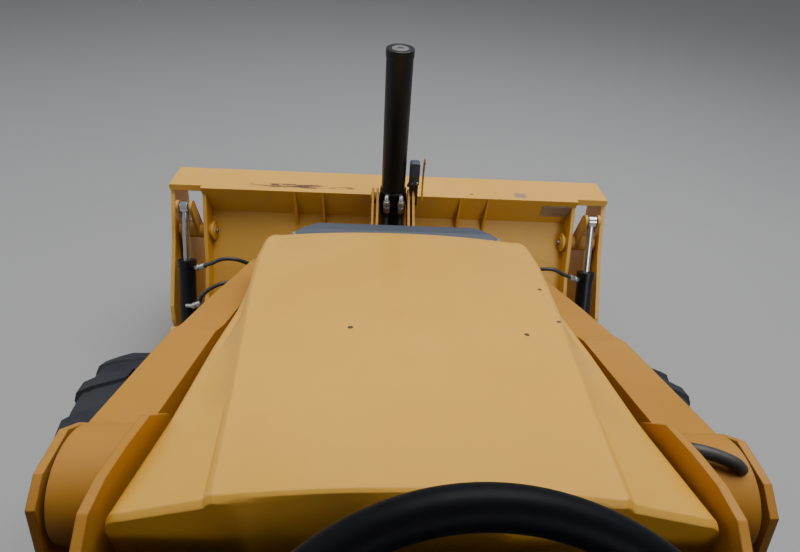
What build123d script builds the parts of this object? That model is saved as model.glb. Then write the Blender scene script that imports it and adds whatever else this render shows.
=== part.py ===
from build123d import *
import math
import os

# Backhoe loader with a multi-purpose front bucket and a side-shift rear digger.
# Millimetres. X to the right, Z up. While the pieces are made, Y is measured
# forward from the rear axle; at the end everything moves along Y so that the
# origin lies under the middle of the machine.

# Running gear
wheelbase = 2200
front_tyre_radius = 485
front_tyre_width = 330
front_tyre_x = 930
front_rim_radius = 232
rear_tyre_radius = 700
rear_tyre_width = 430
rear_tyre_x = 865
rear_rim_radius = 345
kingpin_x = 800
kingpin_radius = 20
axle_beam_depth = 120
steer_arm = 130
running_gap = 0.3
swing_gap = 5

# Main frame
rail_x = 315
rail_thickness = 30
rail_rear_bottom = 830
rail_rear_top = 1040
rail_front_bottom = 610
rail_front_top = 880
frame_front = 2700
frame_rear = -955
engine_width = 500
engine_front = 2330
engine_rear = 1480
engine_bottom = 700
engine_top = 1230

# Loader towers, arms and lift cylinders
tower_inner_x = 482
tower_outer_x = 634
tower_plate = 16
arm_x = 556
arm_width = 116
arm_pivot = (1555, 1495)
arm_boss_radius = 108
bucket_hinge = (3290, 420)
hinge_boss_radius = 70
torque_tube = (2950, 790)
torque_tube_radius = 80
lift_base = (1500, 850)
lift_pin = (2500, 955)
lift_tube_radius = 45
lift_rod_radius = 25
pin_radius = 26
eye_radius = 46

# Tilt cylinder in the middle
tilt_trunnion = (3480, 1060)
tilt_pin = (3495, 785)
tilt_tube_radius = 61
tilt_rod_radius = 32
tilt_tube_top = 1820
bracket_plate = 12
bracket_inner_x = 80
bracket_outer_x = 104

# Loader bucket and its jaw
bucket_width = 2406
bucket_plate = 20
bucket_floor_z = 105
bucket_front = 4330
jaw_hinge = (3560, 770)
jaw_eye = (3504, 950)
jaw_base = (3200, 330)
jaw_cylinder_inset = 98
jaw_cylinder_x = bucket_width / 2 - jaw_cylinder_inset
jaw_tube_radius = 44
jaw_rod_radius = 19

# Hood and front trim
hood_rear = 1390
hood_front = 2700
hood_rear_z = 1721
hood_slope = 0.2985
hood_sheet = 8
hood_hinge = (1405, 1712)
trim_front = 2810

# Cab
cab_rear = -720
cab_front = 1340
cab_half_width = 700
cab_floor_z = 1080
cab_roof_z = 2850
cab_post = 70
glass_thickness = 6
door_front = 1262

# Steering wheel
wheel_centre = (1023, 1984)
wheel_rim_radius = 190
wheel_tube_radius = 15
wheel_tilt = 41

# Seat
seat_centre_y = 330

# Rear frame and stabilisers
slide_frame_rear = -1110
slide_frame_depth = 150
slide_frame_half_width = 1100
slide_beam_height = 100
slide_lower_z = 480
slide_upper_z = 980
housing_size = 140
housing_x = slide_frame_half_width - housing_size / 2
housing_wall = 12
leg_size = 115
leg_foot_z = 250

# Rear digger
carriage_half_width = 230
carriage_plate = 50
swing_axis_y = -1440
boom_foot = (-1650, 700)
boom_tip = (-1190, 3330)
boom_half_width = 125
boom_plate = 28
boom_cylinder_base = (-1430, 1010)
boom_pin_reach = 1400
boom_pin_angle = 7.1
stick_length = 1948
stick_angle = 38
stick_half_width = 80
crowd_arm = 300
crowd_arm_angle = 13
crowd_base_reach = 1100
crowd_base_angle = 7.9
hoe_bucket_half_width = 280
hoe_bucket_reach = 1000
hoe_bucket_curl = 140
rocker_length = 320
link_length = 300
bucket_ear_reach = 260
bucket_ear_angle = 125


def block(x, y, z):
    """A box from its low and high value along each axis."""
    size = Box(x[1] - x[0], y[1] - y[0], z[1] - z[0])
    return Pos((x[0] + x[1]) / 2, (y[0] + y[1]) / 2, (z[0] + z[1]) / 2) * size


def outline(points, radius=0):
    if radius:
        return make_face(FilletPolyline(*points, radius=radius, close=True))
    return make_face(Polyline(*points, close=True))


def side_plate(points, x0, x1, radius=0):
    """A plate across X whose outline is given as (forward, up)."""
    return extrude(Plane.YZ.offset(x0) * outline(points, radius), x1 - x0)


def cross_plate(points, y0, y1, radius=0):
    """A plate across Y whose outline is given as (right, up)."""
    return extrude(Plane.XZ.offset(-y1) * outline(points, radius), y1 - y0)


def flat_plate(points, z0, z1, radius=0):
    """A plate across Z whose outline is given as (right, forward)."""
    return extrude(Plane.XY.offset(z0) * outline(points, radius), z1 - z0)


def pin(point, radius, x0, x1):
    """A round bar across X at a (forward, up) point."""
    bar = Rot(0, 90, 0) * Cylinder(radius, x1 - x0)
    return Pos((x0 + x1) / 2, point[0], point[1]) * bar


def bar(start, end, radius):
    """A round bar between two points in space."""
    a, b = Vector(*start), Vector(*end)
    along = Plane(origin=a, z_dir=b - a)
    return along * Cylinder(radius, (b - a).length, align=(Align.CENTER, Align.CENTER, Align.MIN))


def in_plane(x, point):
    return (x, point[0], point[1])


def toward(start, end, distance):
    """The point at a distance from start on the way to end."""
    length = math.dist(start, end)
    return tuple(s + (e - s) * distance / length for s, e in zip(start, end))


def polar(centre, radius, degrees):
    angle = math.radians(degrees)
    return (centre[0] + radius * math.cos(angle), centre[1] + radius * math.sin(angle))


def heading(start, end):
    return math.degrees(math.atan2(end[1] - start[1], end[0] - start[0]))


def ear(point, root, radius, root_width, x0, x1):
    """A lug round a pin, running back to where it is welded on."""
    along = math.radians(heading(root, point))
    across = (-math.sin(along), math.cos(along))
    corners = [
        (root[0] + across[0] * root_width / 2, root[1] + across[1] * root_width / 2),
        (root[0] - across[0] * root_width / 2, root[1] - across[1] * root_width / 2),
        (point[0] - across[0] * radius, point[1] - across[1] * radius),
        (point[0] + across[0] * radius, point[1] + across[1] * radius),
    ]
    return side_plate(corners, x0, x1) + pin(point, radius, x0, x1)


def mirrored(shape):
    return mirror(shape, about=Plane.YZ)


def pair(shape):
    return [shape, mirrored(shape)]


def turned(profile, point, x):
    """A ring turned about X from an (x, radius) outline, centred on a point."""
    ring = revolve(Plane.XZ * outline(profile), axis=Axis.X)
    return Pos(x, point[0], point[1]) * ring


nodes = {}


def keep(name, *shapes):
    """Hold a node's solids until the end, when all are moved and written."""
    solids = []
    for shape in shapes:
        for one in shape if isinstance(shape, list) else [shape]:
            solids.extend(one.solids())
    nodes[name] = solids


front_wheel = (wheelbase, front_tyre_radius)
rear_wheel = (0, rear_tyre_radius)

# Main frame: two long side plates, cross members, front nose plate and engine block
rail_side = [
    (frame_rear, rail_rear_bottom), (760, rail_rear_bottom), (1120, rail_front_bottom),
    (frame_front, rail_front_bottom), (frame_front, rail_front_top),
    (1420, rail_front_top), (1180, rail_rear_top), (frame_rear, rail_rear_top),
]
rail_inner = rail_x - rail_thickness / 2
rail_outer = rail_x + rail_thickness / 2
rails = side_plate(rail_side, rail_inner, rail_outer)
axle_hanger = 25
hanger_half = axle_beam_depth / 2 + swing_gap
frame = rails + mirrored(rails)
frame += block((-rail_inner, rail_inner), (frame_rear, frame_rear + 60), (rail_rear_bottom, rail_rear_top))
frame += block((-rail_inner, rail_inner), (1180, 1220), (rail_front_bottom, 800))
frame += block((-rail_inner, rail_inner), (450, 490), (rail_rear_bottom, 1000))
for y0, y1 in [
    (wheelbase - hanger_half - axle_hanger, wheelbase - hanger_half),
    (wheelbase + hanger_half, wheelbase + hanger_half + axle_hanger),
]:
    frame += block((-rail_inner, rail_inner), (y0, y1), (rail_front_bottom, 690))
    frame += cross_plate([(-150, 640), (-80, 430), (80, 430), (150, 640)], y0, y1)
nose = side_plate(
    [(frame_front, 560), (frame_front + 70, 620), (frame_front + 70, 1000), (frame_front, 1000)], -390, 390)
frame += nose
keep("main_frame", frame)

engine = block((-engine_width / 2, engine_width / 2), (engine_rear, engine_front), (engine_bottom, engine_top))
engine += block((-150, 150), (1240, engine_rear), (rail_front_bottom + 90, 1060))
engine_feet_gap = rail_inner - engine_width / 2
for y in (engine_rear + 120, engine_front - 160):
    for side in (-1, 1):
        x0, x1 = sorted((side * (engine_width / 2 - 5), side * (rail_inner - running_gap)))
        engine += block((x0, x1), (y - 50, y + 50), (760, 830))
keep("engine_block", engine)

# Front axle: beam hung on a central pin, forked ends that hold the kingpins
beam_half = axle_beam_depth / 2
fork_half_height = 85
fork_plate = 28
fork_radius = 48
axle = cross_plate(
    [(-660, 430), (-200, 410), (200, 410), (660, 430), (660, 540), (200, 565), (-200, 565), (-660, 540)],
    wheelbase - beam_half, wheelbase + beam_half)
axle += Pos(0, wheelbase, front_tyre_radius) * Rot(90, 0, 0) * Cylinder(38, 2 * (hanger_half + axle_hanger) - 4)
for side in (-1, 1):
    for z0, z1 in [
        (front_tyre_radius + fork_half_height - fork_plate, front_tyre_radius + fork_half_height),
        (front_tyre_radius - fork_half_height, front_tyre_radius - fork_half_height + fork_plate),
    ]:
        x0, x1 = sorted((side * 640, side * kingpin_x))
        axle += block((x0, x1), (wheelbase - fork_radius, wheelbase + fork_radius), (z0, z1))
        axle += Pos(side * kingpin_x, wheelbase, (z0 + z1) / 2) * Cylinder(fork_radius, z1 - z0)
    x0, x1 = sorted((side * 640, side * 700))
    axle += block(
        (x0, x1), (wheelbase - fork_radius, wheelbase + fork_radius),
        (front_tyre_radius - fork_half_height, front_tyre_radius + fork_half_height))
    axle += Pos(side * kingpin_x, wheelbase, front_tyre_radius) * Cylinder(kingpin_radius, 2 * fork_half_height)
steer_y = wheelbase - steer_arm
steer_tube_radius = 30
steer_rod_radius = 15
steer_tube_half = 190
steer_tube = bar((-steer_tube_half, steer_y, front_tyre_radius), (steer_tube_half, steer_y, front_tyre_radius),
                 steer_tube_radius)
for x in (-165, 165):
    steer_tube += block((x - 12, x + 12), (steer_y, wheelbase - beam_half + 1),
                        (front_tyre_radius - 40, front_tyre_radius + 40))
steer_bore = bar((-400, steer_y, front_tyre_radius), (400, steer_y, front_tyre_radius),
                 steer_rod_radius + running_gap)
hanger_pin_hole = Pos(0, wheelbase, front_tyre_radius) * Rot(90, 0, 0) * Cylinder(
    38 + running_gap, 2 * (hanger_half + axle_hanger) + 10)
nodes["main_frame"] = (frame - hanger_pin_hole).solids()
axle = (axle + steer_tube) - steer_bore
keep("front_axle", axle)

steer_rod = bar((-kingpin_x + 22, steer_y, front_tyre_radius), (kingpin_x - 22, steer_y, front_tyre_radius),
                steer_rod_radius)
steer_eye_radius = 22
for side in (-1, 1):
    steer_rod += Pos(side * kingpin_x, steer_y, front_tyre_radius) * Cylinder(steer_eye_radius, 30)
keep("steering_rod", steer_rod)

# Knuckles: a hub on the kingpin with a stub axle and a forked steering arm
knuckle_half = fork_half_height - fork_plate - swing_gap
stub_radius = 34
stub_end = front_tyre_x + 40
hub_face = 868
for name, side in (("knuckle_left", -1), ("knuckle_right", 1)):
    knuckle = Pos(side * kingpin_x, wheelbase, front_tyre_radius) * Cylinder(fork_radius, 2 * knuckle_half)
    x0, x1 = sorted((side * kingpin_x, side * stub_end))
    knuckle += pin(front_wheel, stub_radius, x0, x1)
    x0, x1 = sorted((side * (kingpin_x + 20), side * hub_face))
    knuckle += pin(front_wheel, fork_radius, x0, x1)
    for z0, z1 in (
        (front_tyre_radius + 20, front_tyre_radius + 38), (front_tyre_radius - 38, front_tyre_radius - 20),
    ):
        arm = block((side * kingpin_x - 22, side * kingpin_x + 22), (steer_y, wheelbase - 20), (z0, z1))
        knuckle += arm + Pos(side * kingpin_x, steer_y, (z0 + z1) / 2) * Cylinder(steer_eye_radius, z1 - z0)
    knuckle -= Pos(side * kingpin_x, wheelbase, front_tyre_radius) * Cylinder(
        kingpin_radius + running_gap, 2 * fork_half_height)
    keep(name, knuckle)

# Rear axle: centre casing, tubes and flanged ends bolted under the rails
rear_tube_radius = 95
rear_stub_radius = 55
rear_stub_end = 883
rear_flange_x = 640
rear_casing = Pos(0, 0, rear_tyre_radius) * Sphere(175) & block(
    (-160, 160), (-170, 170), (rear_tyre_radius - 180, rail_rear_bottom - 5))
rear_axle = rear_casing + pin(rear_wheel, rear_tube_radius, -rear_flange_x, rear_flange_x)
rear_axle += pin(rear_wheel, rear_stub_radius, -rear_stub_end, rear_stub_end)
for side in (-1, 1):
    x0, x1 = sorted((side * (rail_x - 60), side * (rail_x + 60)))
    rear_axle += block((x0, x1), (-110, 110), (rear_tyre_radius, rail_rear_bottom))
rear_axle += bar((0, 150, rear_tyre_radius + 30), (0, 900, 820), 38)
keep("rear_axle", rear_axle)


def tyre(radius, width, rim_radius):
    """A closed tyre ring: round shoulders and sides down to the bead."""
    half = width / 2
    profile = [
        (-half * 0.74, rim_radius), (-half * 0.96, rim_radius + (radius - rim_radius) * 0.30),
        (-half, rim_radius + (radius - rim_radius) * 0.58), (-half * 0.94, radius * 0.952),
        (-half * 0.80, radius * 0.985), (-half * 0.40, radius), (half * 0.40, radius),
        (half * 0.80, radius * 0.985), (half * 0.94, radius * 0.952),
        (half, rim_radius + (radius - rim_radius) * 0.58),
        (half * 0.96, rim_radius + (radius - rim_radius) * 0.30), (half * 0.74, rim_radius),
    ]
    return profile


def rim(rim_radius, width, disc_x, bore_radius, hub_length):
    """A rim barrel with flanges, a dished disc and a hub round the stub axle."""
    half = width / 2 * 0.74
    wall = 12
    barrel = [
        (-half - 12, rim_radius + 16), (-half, rim_radius - running_gap), (half, rim_radius - running_gap),
        (half + 12, rim_radius + 16), (half + 22, rim_radius + 12), (half + 8, rim_radius - wall - 4),
        (disc_x + 16, rim_radius - wall - 4), (disc_x + 16, bore_radius + 50),
        (disc_x + hub_length / 2, bore_radius + 44), (disc_x + hub_length / 2, bore_radius),
        (disc_x - hub_length / 2, bore_radius), (disc_x - hub_length / 2, bore_radius + 44),
        (disc_x, bore_radius + 50), (disc_x, rim_radius - wall - 4),
        (-half - 8, rim_radius - wall - 4), (-half - 22, rim_radius + 12),
    ]
    return barrel


front_disc_x = 10
rear_disc_x = -40
front_hub_length = 90
rear_hub_length = 120
for end, point, x, radius, width, rim_radius, disc_x, bore, hub_length in (
    ("front", front_wheel, front_tyre_x, front_tyre_radius, front_tyre_width, front_rim_radius,
     front_disc_x, stub_radius + running_gap, front_hub_length),
    ("rear", rear_wheel, rear_tyre_x, rear_tyre_radius, rear_tyre_width, rear_rim_radius,
     rear_disc_x, rear_stub_radius + running_gap, rear_hub_length),
):
    tyre_ring = turned(tyre(radius, width, rim_radius), point, x)
    wheel_rim = turned(rim(rim_radius, width, disc_x, bore, hub_length), point, x)
    hub_cap = pin(point, bore + 44, x + disc_x + hub_length / 2, x + disc_x + hub_length / 2 + 14)
    keep(end + "_tyre_right", tyre_ring)
    keep(end + "_tyre_left", mirrored(tyre_ring))
    keep(end + "_rim_right", wheel_rim + hub_cap)
    keep(end + "_rim_left", mirrored(wheel_rim + hub_cap))

# Loader towers: an inner and an outer plate each side, the arm between them
tower_inner_face = tower_inner_x - tower_plate / 2
tower_outer_face = tower_outer_x + tower_plate / 2
inner_plate_side = [
    (1345, 640), (1345, 1650), (1392, 1682), (1450, 1680), (1520, 1661), (1605, 1630),
    (1665, 1560), (1665, 1440), (1610, 1330), (1610, 640),
]
outer_plate_side = [
    (1395, 760), (1395, 1330), (1462, 1560), (1510, 1592), (1600, 1592), (1648, 1550),
    (1662, 1450), (1605, 1330), (1605, 760),
]
tower = side_plate(inner_plate_side, tower_inner_face, tower_inner_x + tower_plate / 2)
tower += side_plate(outer_plate_side, tower_outer_x - tower_plate / 2, tower_outer_face)
tower += block((rail_outer, tower_inner_face + 1), (1350, 1605), (640, 860))
tower += block((tower_inner_face, tower_outer_face), (1395, 1420), (760, 1290))
tower += block((tower_inner_face, tower_outer_face), (1395, 1605), (740, 764))
tower += pin(arm_pivot, pin_radius + 6, tower_inner_face, tower_outer_face + 14)
tower += pin(lift_base, pin_radius, tower_inner_face, tower_outer_face + 8)
keep("loader_towers", pair(tower))

# Loader arms: two cranked box arms, and the torque tube with its cylinder bracket
arm_inner = arm_x - arm_width / 2
arm_outer = arm_x + arm_width / 2
arm_side = [
    (1551, 1594), (1744, 1530), (2038, 1432), (2102, 1395), (2336, 1299), (2664, 1155), (2871, 1067),
    (2990, 1000), (3105, 880), (3354, 450), (3354, 398), (3232, 380), (2965, 690), (2860, 800),
    (2700, 890), (2560, 1008), (2400, 1044), (2000, 1240), (1640, 1394), (1540, 1392),
]
lift_ear_plate = 16
eye_half = 25
arm = side_plate(arm_side, arm_inner, arm_outer)
arm += pin(arm_pivot, arm_boss_radius, arm_inner, arm_outer)
arm += pin(bucket_hinge, hinge_boss_radius, arm_inner, arm_outer)
lift_ear_half = eye_half + swing_gap
for side in (-1, 1):
    x0, x1 = sorted((arm_x + side * lift_ear_half, arm_x + side * (lift_ear_half + lift_ear_plate)))
    arm += ear(lift_pin, (2490, 1070), eye_radius + 6, 210, x0, x1)
    x0, x1 = sorted((arm_x + side * (eye_half + 2), arm_x + side * (lift_ear_half + lift_ear_plate)))
    arm += pin(lift_pin, pin_radius, x0, x1)
arm -= pin(arm_pivot, pin_radius + 6 + running_gap, arm_inner - 1, arm_outer + 1)
arm -= pin(bucket_hinge, pin_radius + running_gap, arm_inner - 1, arm_outer + 1)
keep("loader_arms", pair(arm))

tube_half = arm_inner
tube = pin(torque_tube, torque_tube_radius, -tube_half, tube_half)
bracket_root = (2960, 830)
bracket_side = [
    (2900, 770), (2905, 850), (3420, 1100), (3480, 1118), (3535, 1075), (3525, 1010), (3440, 960),
    (3060, 735), (2985, 715),
]
for side in (-1, 1):
    for x in (bracket_inner_x, bracket_outer_x):
        x0, x1 = sorted((side * (x - bracket_plate / 2), side * (x + bracket_plate / 2)))
        tube += side_plate(bracket_side, x0, x1)
    x0, x1 = sorted((side * (tilt_tube_radius + 7 + running_gap), side * (bracket_outer_x + bracket_plate)))
    tube += pin(tilt_trunnion, pin_radius + 4, x0, x1)
    x0, x1 = sorted((side * bracket_inner_x, side * bracket_outer_x))
    tube += block((x0, x1), (3000, 3040), (770, 850))
keep("torque_tube", tube)


def cylinder_tube(base, eye, x, base_radius, tube_radius, rod_radius, reach, width):
    """A cylinder tube with its base eye and gland, bored for the rod."""
    end = in_plane(x, toward(base, eye, reach))
    body = bar(in_plane(x, toward(base, eye, base_radius * 0.9)), end, tube_radius)
    body += pin(base, base_radius, x - width / 2, x + width / 2)
    body += bar(in_plane(x, toward(base, eye, reach - 40)), end, tube_radius + 5)
    body -= bar(in_plane(x, toward(base, eye, base_radius + 30)), in_plane(x, toward(base, eye, reach + 5)),
                rod_radius + running_gap)
    return body


def cylinder_rod(base, eye, x, eye_radius, rod_radius, reach, width):
    """A chromed rod with its eye; the tail stays inside the tube."""
    rod = bar(in_plane(x, toward(base, eye, reach)), in_plane(x, eye), rod_radius)
    return rod + pin(eye, eye_radius, x - width / 2, x + width / 2)


# Lift cylinders under the arms
lift_tube_length = 860
lift_tube = cylinder_tube(
    lift_base, lift_pin, arm_x, eye_radius, lift_tube_radius, lift_rod_radius, lift_tube_length, 2 * eye_half)
lift_tube -= pin(lift_base, pin_radius + running_gap, arm_x - 40, arm_x + 40)
keep("lift_cylinder_tubes", pair(lift_tube))
lift_rod = cylinder_rod(lift_base, lift_pin, arm_x, eye_radius, lift_rod_radius, 110, 2 * eye_half)
lift_rod -= pin(lift_pin, pin_radius + 2, arm_x - 40, arm_x + 40)
keep("lift_cylinder_rods", pair(lift_rod))

# Tilt cylinder: tube hung in a trunnion block between the bracket plates
tilt_top = toward(tilt_pin, tilt_trunnion, math.dist(tilt_pin, tilt_trunnion) + tilt_tube_top - tilt_trunnion[1])
tilt_block_bottom = toward(tilt_trunnion, tilt_pin, 200)
tilt_block_top = toward(tilt_trunnion, tilt_top, 60)
tilt_tube = bar(in_plane(0, tilt_block_bottom), in_plane(0, tilt_top), tilt_tube_radius)
tilt_tube += bar(in_plane(0, tilt_block_bottom), in_plane(0, tilt_block_top), tilt_tube_radius + 7)
tilt_rod_bore = bar(in_plane(0, toward(tilt_trunnion, tilt_pin, 210)),
                    in_plane(0, toward(tilt_pin, tilt_top, math.dist(tilt_pin, tilt_top) - 60)),
                    tilt_rod_radius + running_gap)
keep("tilt_cylinder_tube", tilt_tube - tilt_rod_bore)
tilt_eye_half = 28
tilt_rod_tail = toward(tilt_pin, tilt_top, math.dist(tilt_pin, tilt_top) - 80)
tilt_rod = bar(in_plane(0, tilt_rod_tail), in_plane(0, tilt_pin), tilt_rod_radius)
tilt_rod += pin(tilt_pin, eye_radius, -tilt_eye_half, tilt_eye_half)
tilt_rod -= pin(tilt_pin, pin_radius, -40, 40)
keep("tilt_cylinder_rod", tilt_rod)

# Loader bucket: curved back, flat top beam, outer side plates, hinge and cylinder ears
bucket_half = bucket_width / 2
back_inset = 173
back_half = bucket_half - back_inset
beam_thickness = 35
jaw_floor_gap = 6
floor_thickness = 20
back_bottom = bucket_floor_z + floor_thickness + jaw_floor_gap
back_rear = [
    (3560, 1035), (3640, 853), (3560, 715), (3478, 575), (3405, 430), (3372, 290), (3372, back_bottom),
]
back_front = [
    (3372 + bucket_plate, back_bottom), (3372 + bucket_plate, 290), (3424, 425), (3496, 566),
    (3578, 706), (3664, 853), (3640, 1000), (3800, 1000), (3800, 1035),
]
bucket = side_plate(back_rear + back_front, -back_half, back_half)
bucket += block((-bucket_half, bucket_half), (3590, 3800), (1035 - beam_thickness, 1035))
end_side = [
    (3231, 380), (3254, 462), (3469, 756), (3565, 928), (3628, 1035), (3802, 1035), (3780, 860),
    (3690, 560), (3560, 300), (3440, 180), (3290, 190), (3236, 280),
]
inner_end_side = [
    (3150, 300), (3150, 372), (3240, 420), (3330, 480), (3420, 620), (3478, 760), (3540, 900),
    (3590, 1003), (3650, 1003), (3664, 853), (3578, 706), (3496, 566), (3424, 425), (3392, 290),
    (3300, 250), (3200, 262),
]
jaw_hinge_radius = 24
jaw_boss_radius = 42
for side in (-1, 1):
    x0, x1 = sorted((side * (bucket_half - bucket_plate), side * bucket_half))
    bucket += side_plate(end_side, x0, x1)
    x0, x1 = sorted((side * (back_half - bucket_plate), side * back_half))
    bucket += side_plate(inner_end_side, x0, x1)
    x0, x1 = sorted((side * (back_half - bucket_plate), side * bucket_half))
    bucket += pin(jaw_hinge, jaw_hinge_radius, x0, x1)
    bucket += pin(jaw_base, jaw_hinge_radius, x0, x1)
    bucket += block((x0, x1), (3236, 3300), (205, 235))
    x0, x1 = sorted((side * (back_half - bucket_plate - 9), side * (back_half + 1)))
    bucket += pin(jaw_hinge, jaw_boss_radius, x0, x1)
    for x in (378, 531):
        bucket += side_plate(
            [(3562, 1032), (3600, 800), (3566, 706), (3650, 853)], side * x - 7, side * x + 7)
hinge_ear_plate = 18
hinge_ear_gap = 6
for side in (-1, 1):
    for x in (arm_inner - hinge_ear_gap - hinge_ear_plate / 2, arm_outer + hinge_ear_gap + hinge_ear_plate / 2):
        x0, x1 = side * x - hinge_ear_plate / 2, side * x + hinge_ear_plate / 2
        bucket += side_plate(
            [(3240, 372), (3330, 478), (3430, 520), (3496, 566), (3424, 425), (3392, 290), (3300, 350)], x0, x1)
        bucket += pin(bucket_hinge, hinge_boss_radius - 6, x0, x1)
    x0, x1 = sorted((side * (arm_inner - hinge_ear_gap - hinge_ear_plate),
                     side * (arm_outer + hinge_ear_gap + hinge_ear_plate + 8)))
    bucket += pin(bucket_hinge, pin_radius, x0, x1)
tilt_ear_plate = 20
for side in (-1, 1):
    x0, x1 = sorted((side * (tilt_eye_half + 6), side * (tilt_eye_half + 6 + tilt_ear_plate)))
    bucket += side_plate([(3470, 742), (3500, 835), (3650, 840), (3560, 690)], x0, x1)
    bucket += pin(tilt_pin, eye_radius, x0, x1)
keep("loader_bucket", bucket)

# Jaw: floor with its cutting edge, side plates and the levers of its cylinders
jaw_plate_inset = 53
jaw_plate_x = bucket_half - jaw_plate_inset
jaw_side = [
    (3500, 760), (3540, 815), (3600, 810), (3650, 780), (3980, 420), (4290, 165), (bucket_front - 60, bucket_floor_z),
    (3392, bucket_floor_z), (3402, 250), (3455, 470),
]
jaw = block((-jaw_plate_x - 10, jaw_plate_x + 10), (3392, bucket_front - 130), (
    bucket_floor_z, bucket_floor_z + floor_thickness))
jaw += side_plate([
    (bucket_front - 150, bucket_floor_z), (bucket_front, bucket_floor_z - 4), (bucket_front, bucket_floor_z + 4),
    (bucket_front - 60, bucket_floor_z + 32), (bucket_front - 150, bucket_floor_z + 32)],
    -bucket_half + 4, bucket_half - 4)
lever_plate = 16
lever_half = 27
for side in (-1, 1):
    x0, x1 = sorted((side * (jaw_plate_x - 10), side * (jaw_plate_x + 10)))
    jaw += side_plate(jaw_side, x0, x1)
    x0, x1 = sorted((side * (back_half + 7), side * (bucket_half - bucket_plate - 6)))
    jaw += pin(jaw_hinge, jaw_boss_radius, x0, x1)
    for x in (jaw_cylinder_x - lever_half - lever_plate / 2, jaw_cylinder_x + lever_half + lever_plate / 2):
        jaw += ear(jaw_eye, jaw_hinge, 34, 80, side * x - lever_plate / 2, side * x + lever_plate / 2)
jaw -= pin(jaw_hinge, jaw_hinge_radius + running_gap, -bucket_half, bucket_half)
keep("bucket_jaw", jaw)

jaw_tube_length = 405
jaw_eye_half = 20
jaw_tube = cylinder_tube(
    jaw_base, jaw_eye, jaw_cylinder_x, 40, jaw_tube_radius, jaw_rod_radius, jaw_tube_length, 2 * lever_half)
jaw_tube -= pin(jaw_base, jaw_hinge_radius + running_gap, jaw_cylinder_x - 60, jaw_cylinder_x + 60)
keep("jaw_cylinder_tubes", pair(jaw_tube))
jaw_rod = cylinder_rod(jaw_base, jaw_eye, jaw_cylinder_x, 32, jaw_rod_radius, 310, 2 * jaw_eye_half)
jaw_rod -= pin(jaw_eye, 15, jaw_cylinder_x - 40, jaw_cylinder_x + 40)
keep("jaw_cylinder_rods", pair(jaw_rod))

# Hood: a folded shell with a crowned centre panel, two creases and side facets
hood_sections = [
    # forward, crease half width, outer half width, outer drop below the crease
    (1390, 300, 462, 44), (1640, 337, 462, 56), (1900, 380, 462, 46), (2110, 414, 455, 40),
    (2410, 455, 464, 30), (2600, 468, 474, 26),
]
crown = 33


def hood_height(y):
    return hood_rear_z - hood_slope * (y - hood_rear)


def hood_ring(y, crease, outer, drop, inset, floor):
    """One cross section of the hood, made smaller by an inset for its inside."""
    z = hood_height(y)
    wide = outer - inset
    top = [
        (-wide, floor), (-wide, z - drop - inset), (-crease + inset, z - inset), (-crease / 2, z + crown * 0.75 - inset),
        (0, z + crown - inset), (crease / 2, z + crown * 0.75 - inset), (crease - inset, z - inset),
        (wide, z - drop - inset), (wide, floor),
    ]
    return Plane(origin=(0, y, 0), x_dir=(1, 0, 0), z_dir=(0, -1, 0)) * outline(top)


hood_bottom = 1240
hood_outer = loft([hood_ring(y, c, o, d, 0, hood_bottom) for y, c, o, d in hood_sections], ruled=True)
front_outer = hood_sections[-1][2]
hood_nose = flat_plate([
    (-front_outer, 2599), (front_outer, 2599), (450, 2672), (408, 2692), (-408, 2692), (-450, 2672)],
    hood_bottom, 1420)
nose_cutter = side_plate([
    (2590, hood_height(2590) + 15), (2710, hood_height(2710) + 12), (2710, 1500), (2590, 1500)], -500, 500)
hood_inner = loft([
    hood_ring(y, c, o, d, hood_sheet, hood_bottom - 20) for y, c, o, d in (
        [(hood_rear + 30, 304, 462, 45)] + hood_sections[1:])], ruled=True)
nose_inner = flat_plate([
    (-front_outer + 8, 2598), (front_outer - 8, 2598), (443, 2664), (402, 2683), (-402, 2683), (-443, 2664)],
    hood_bottom - 20, hood_height(2690) - 6)
hood = hood_outer - hood_inner + (hood_nose - nose_cutter - nose_inner)
keep("hood", hood)

trim = side_plate([
    (2692, 1240), (2692, 1318), (2740, 1322), (trim_front, 1306), (trim_front + 4, 1240)], -408, 408)
for side in (-1, 1):
    trim -= flat_plate([(side * 408, 2690), (side * 409, 2830), (side * 300, 2830)], 1200, 1400)
trim_hollow = side_plate([(2691, 1230), (2691, 1308), (2740, 1312), (trim_front - 8, 1298), (trim_front - 6, 1230)],
                         -290, 290)
keep("front_trim", trim - trim_hollow)

# Grille: a frame with slats in front of the radiator space, under the trim
grille_half = 330
grille_rear = 2772
grille_front = 2796
grille = block((-grille_half, grille_half), (grille_rear, grille_front), (1010, 1225))
grille -= block((-grille_half + 30, grille_half - 30), (grille_rear - 1, grille_front + 1), (1035, 1200))
for number in range(5):
    z = 1048 + number * 32
    grille += side_plate([(grille_rear, z), (grille_front, z - 10), (grille_front, z - 4), (grille_rear, z + 12)],
                         -grille_half + 29, grille_half - 29)
cheeks = flat_plate([(-430, 2440), (-430, 2700), (-350, 2772), (350, 2772), (430, 2700), (430, 2440),
                     (410, 2440), (410, 2690), (345, 2752), (-345, 2752), (-410, 2690), (-410, 2440)], 1003, 1232)
cheeks -= block((-grille_half + 20, grille_half - 20), (2700, 2800), (1030, 1205))
keep("front_grille", [grille, cheeks])

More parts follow.
